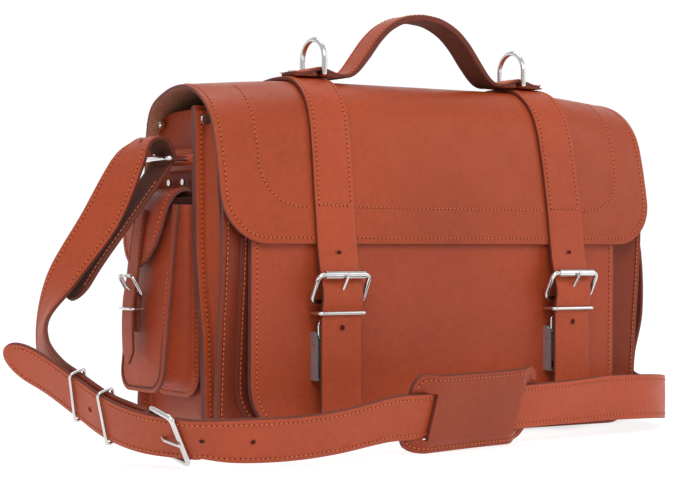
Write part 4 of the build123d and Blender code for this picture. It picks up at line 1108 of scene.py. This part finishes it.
# ---------------------------------------------------------------- stitch meshes
SLOT_OF = {"flap": "flap_leather", "root": "panel_leather", "pad": "strap_leather", "left_pocket_flap": "side_leather", "right_pocket_flap": "side_leather"}
for body, (v, f, mi) in ROWS.items():
    me = bpy.data.meshes.new("stitches_" + body)
    me.from_pydata([tuple(p) for p in np.array(v) * MM], [], f)
    me.materials.append(M_THREAD)
    me.materials.append(M_HOLE_SHADE)
    me.polygons.foreach_set("material_index", np.array(mi, dtype=np.int32))
    me.polygons.foreach_set("use_smooth", [True] * len(me.polygons))
    ob = bpy.data.objects.new("stitches_" + body, me)
    bpy.context.scene.collection.objects.link(ob)
    bm = bmesh.new()
    bm.from_mesh(me)
    bmesh.ops.recalc_face_normals(bm, faces=bm.faces)
    bm.to_mesh(me)
    bm.free()
    hide(ob, body, SLOT_OF[body])

# ---------------------------------------------------------------- metal nodes that stay as they are
# clip parts that get the darker nickel, a painted dark reflection
DARK_REFLECTION_PARTS = ("left_clip_body", "right_clip_body", "left_clip_lever", "right_clip_lever")
for n, o in NODES.items():
    if o.hide_render:
        continue
    m = M_CHROME_DARK_REFLECTION if n in DARK_REFLECTION_PARTS else M_CHROME
    o.data.materials.clear()
    o.data.materials.append(m)

# ---------------------------------------------------------------- floor, light, camera
bpy.ops.mesh.primitive_plane_add(size=14.0, location=(0, 0, -0.0003))
floor = bpy.context.object
floor.name = "floor"
fm, nt, b = mat_base("pale_floor")
tc = nt.nodes.new("ShaderNodeTexCoord")
nz = add(nt, "ShaderNodeTexNoise", Scale=3.0, Detail=2.0)
nt.links.new(tc.outputs["Object"], nz.inputs["Vector"])
cr = ramp(nt, nz.outputs["Fac"], [(0.3, (0.42, 0.42, 0.42, 1)), (0.7, (0.45, 0.45, 0.45, 1))])
nt.links.new(cr.outputs["Color"], b.inputs["Base Color"])
b.inputs["Roughness"].default_value = 0.9
b.inputs["Specular IOR Level"].default_value = 0.1
b.inputs["Emission Color"].default_value = (1.0, 1.0, 1.0, 1.0)
b.inputs["Emission Strength"].default_value = 0.72
floor.data.materials.append(fm)
bpy.ops.mesh.primitive_plane_add(size=1.0, location=(2.5, 3.85, 1.5), rotation=(math.radians(90), 0, math.radians(-33)))
back = bpy.context.object
back.name = "backdrop"
back.scale = (18.0, 6.0, 1.0)
wm, nt, b = mat_base("lit_backdrop")
tc = nt.nodes.new("ShaderNodeTexCoord")
nz = add(nt, "ShaderNodeTexNoise", Scale=0.6, Detail=1.0)
nt.links.new(tc.outputs["Object"], nz.inputs["Vector"])
cr = ramp(nt, nz.outputs["Fac"], [(0.3, (0.97, 0.97, 0.97, 1)), (0.7, (1, 1, 1, 1))])
nt.links.new(cr.outputs["Color"], b.inputs["Emission Color"])
b.inputs["Emission Strength"].default_value = 1.0
b.inputs["Base Color"].default_value = (0.0, 0.0, 0.0, 1.0)
back.data.materials.append(wm)

world = bpy.data.worlds.new("studio")
bpy.context.scene.world = world
world.use_nodes = True
world.node_tree.nodes["Background"].inputs[0].default_value = (1.0, 1.0, 1.0, 1.0)
world.node_tree.nodes["Background"].inputs[1].default_value = 0.62


def area(name, loc, target, size, power, col=(1, 1, 1)):
    l = bpy.data.lights.new(name, "AREA")
    l.shape = "RECTANGLE"
    l.size, l.size_y = size
    l.energy = power
    l.color = col
    o = bpy.data.objects.new(name, l)
    bpy.context.scene.collection.objects.link(o)
    o.location = loc
    o.rotation_euler = (Vector(target) - Vector(loc)).to_track_quat("-Z", "Y").to_euler()
    return o


area("key", (-0.9, -1.7, 1.5), (0, 0, 0.15), (1.2, 1.0), 20)
area("fill", (1.6, -1.3, 1.0), (0, 0, 0.15), (1.4, 1.2), 7)
area("top", (0.1, 0.3, 1.9), (0, 0, 0.2), (1.6, 1.2), 10)

cam = bpy.data.cameras.new("camera")
cam.lens = 100.0
cam.sensor_width = 36.0
cam.clip_start = 0.05
co = bpy.data.objects.new("camera", cam)
bpy.context.scene.collection.objects.link(co)
co.location = (-0.953, -1.343, 0.157)
co.rotation_euler = (math.radians(90), 0, math.radians(-33))
bpy.context.scene.camera = co
bpy.context.scene.view_settings.view_transform = "Standard"
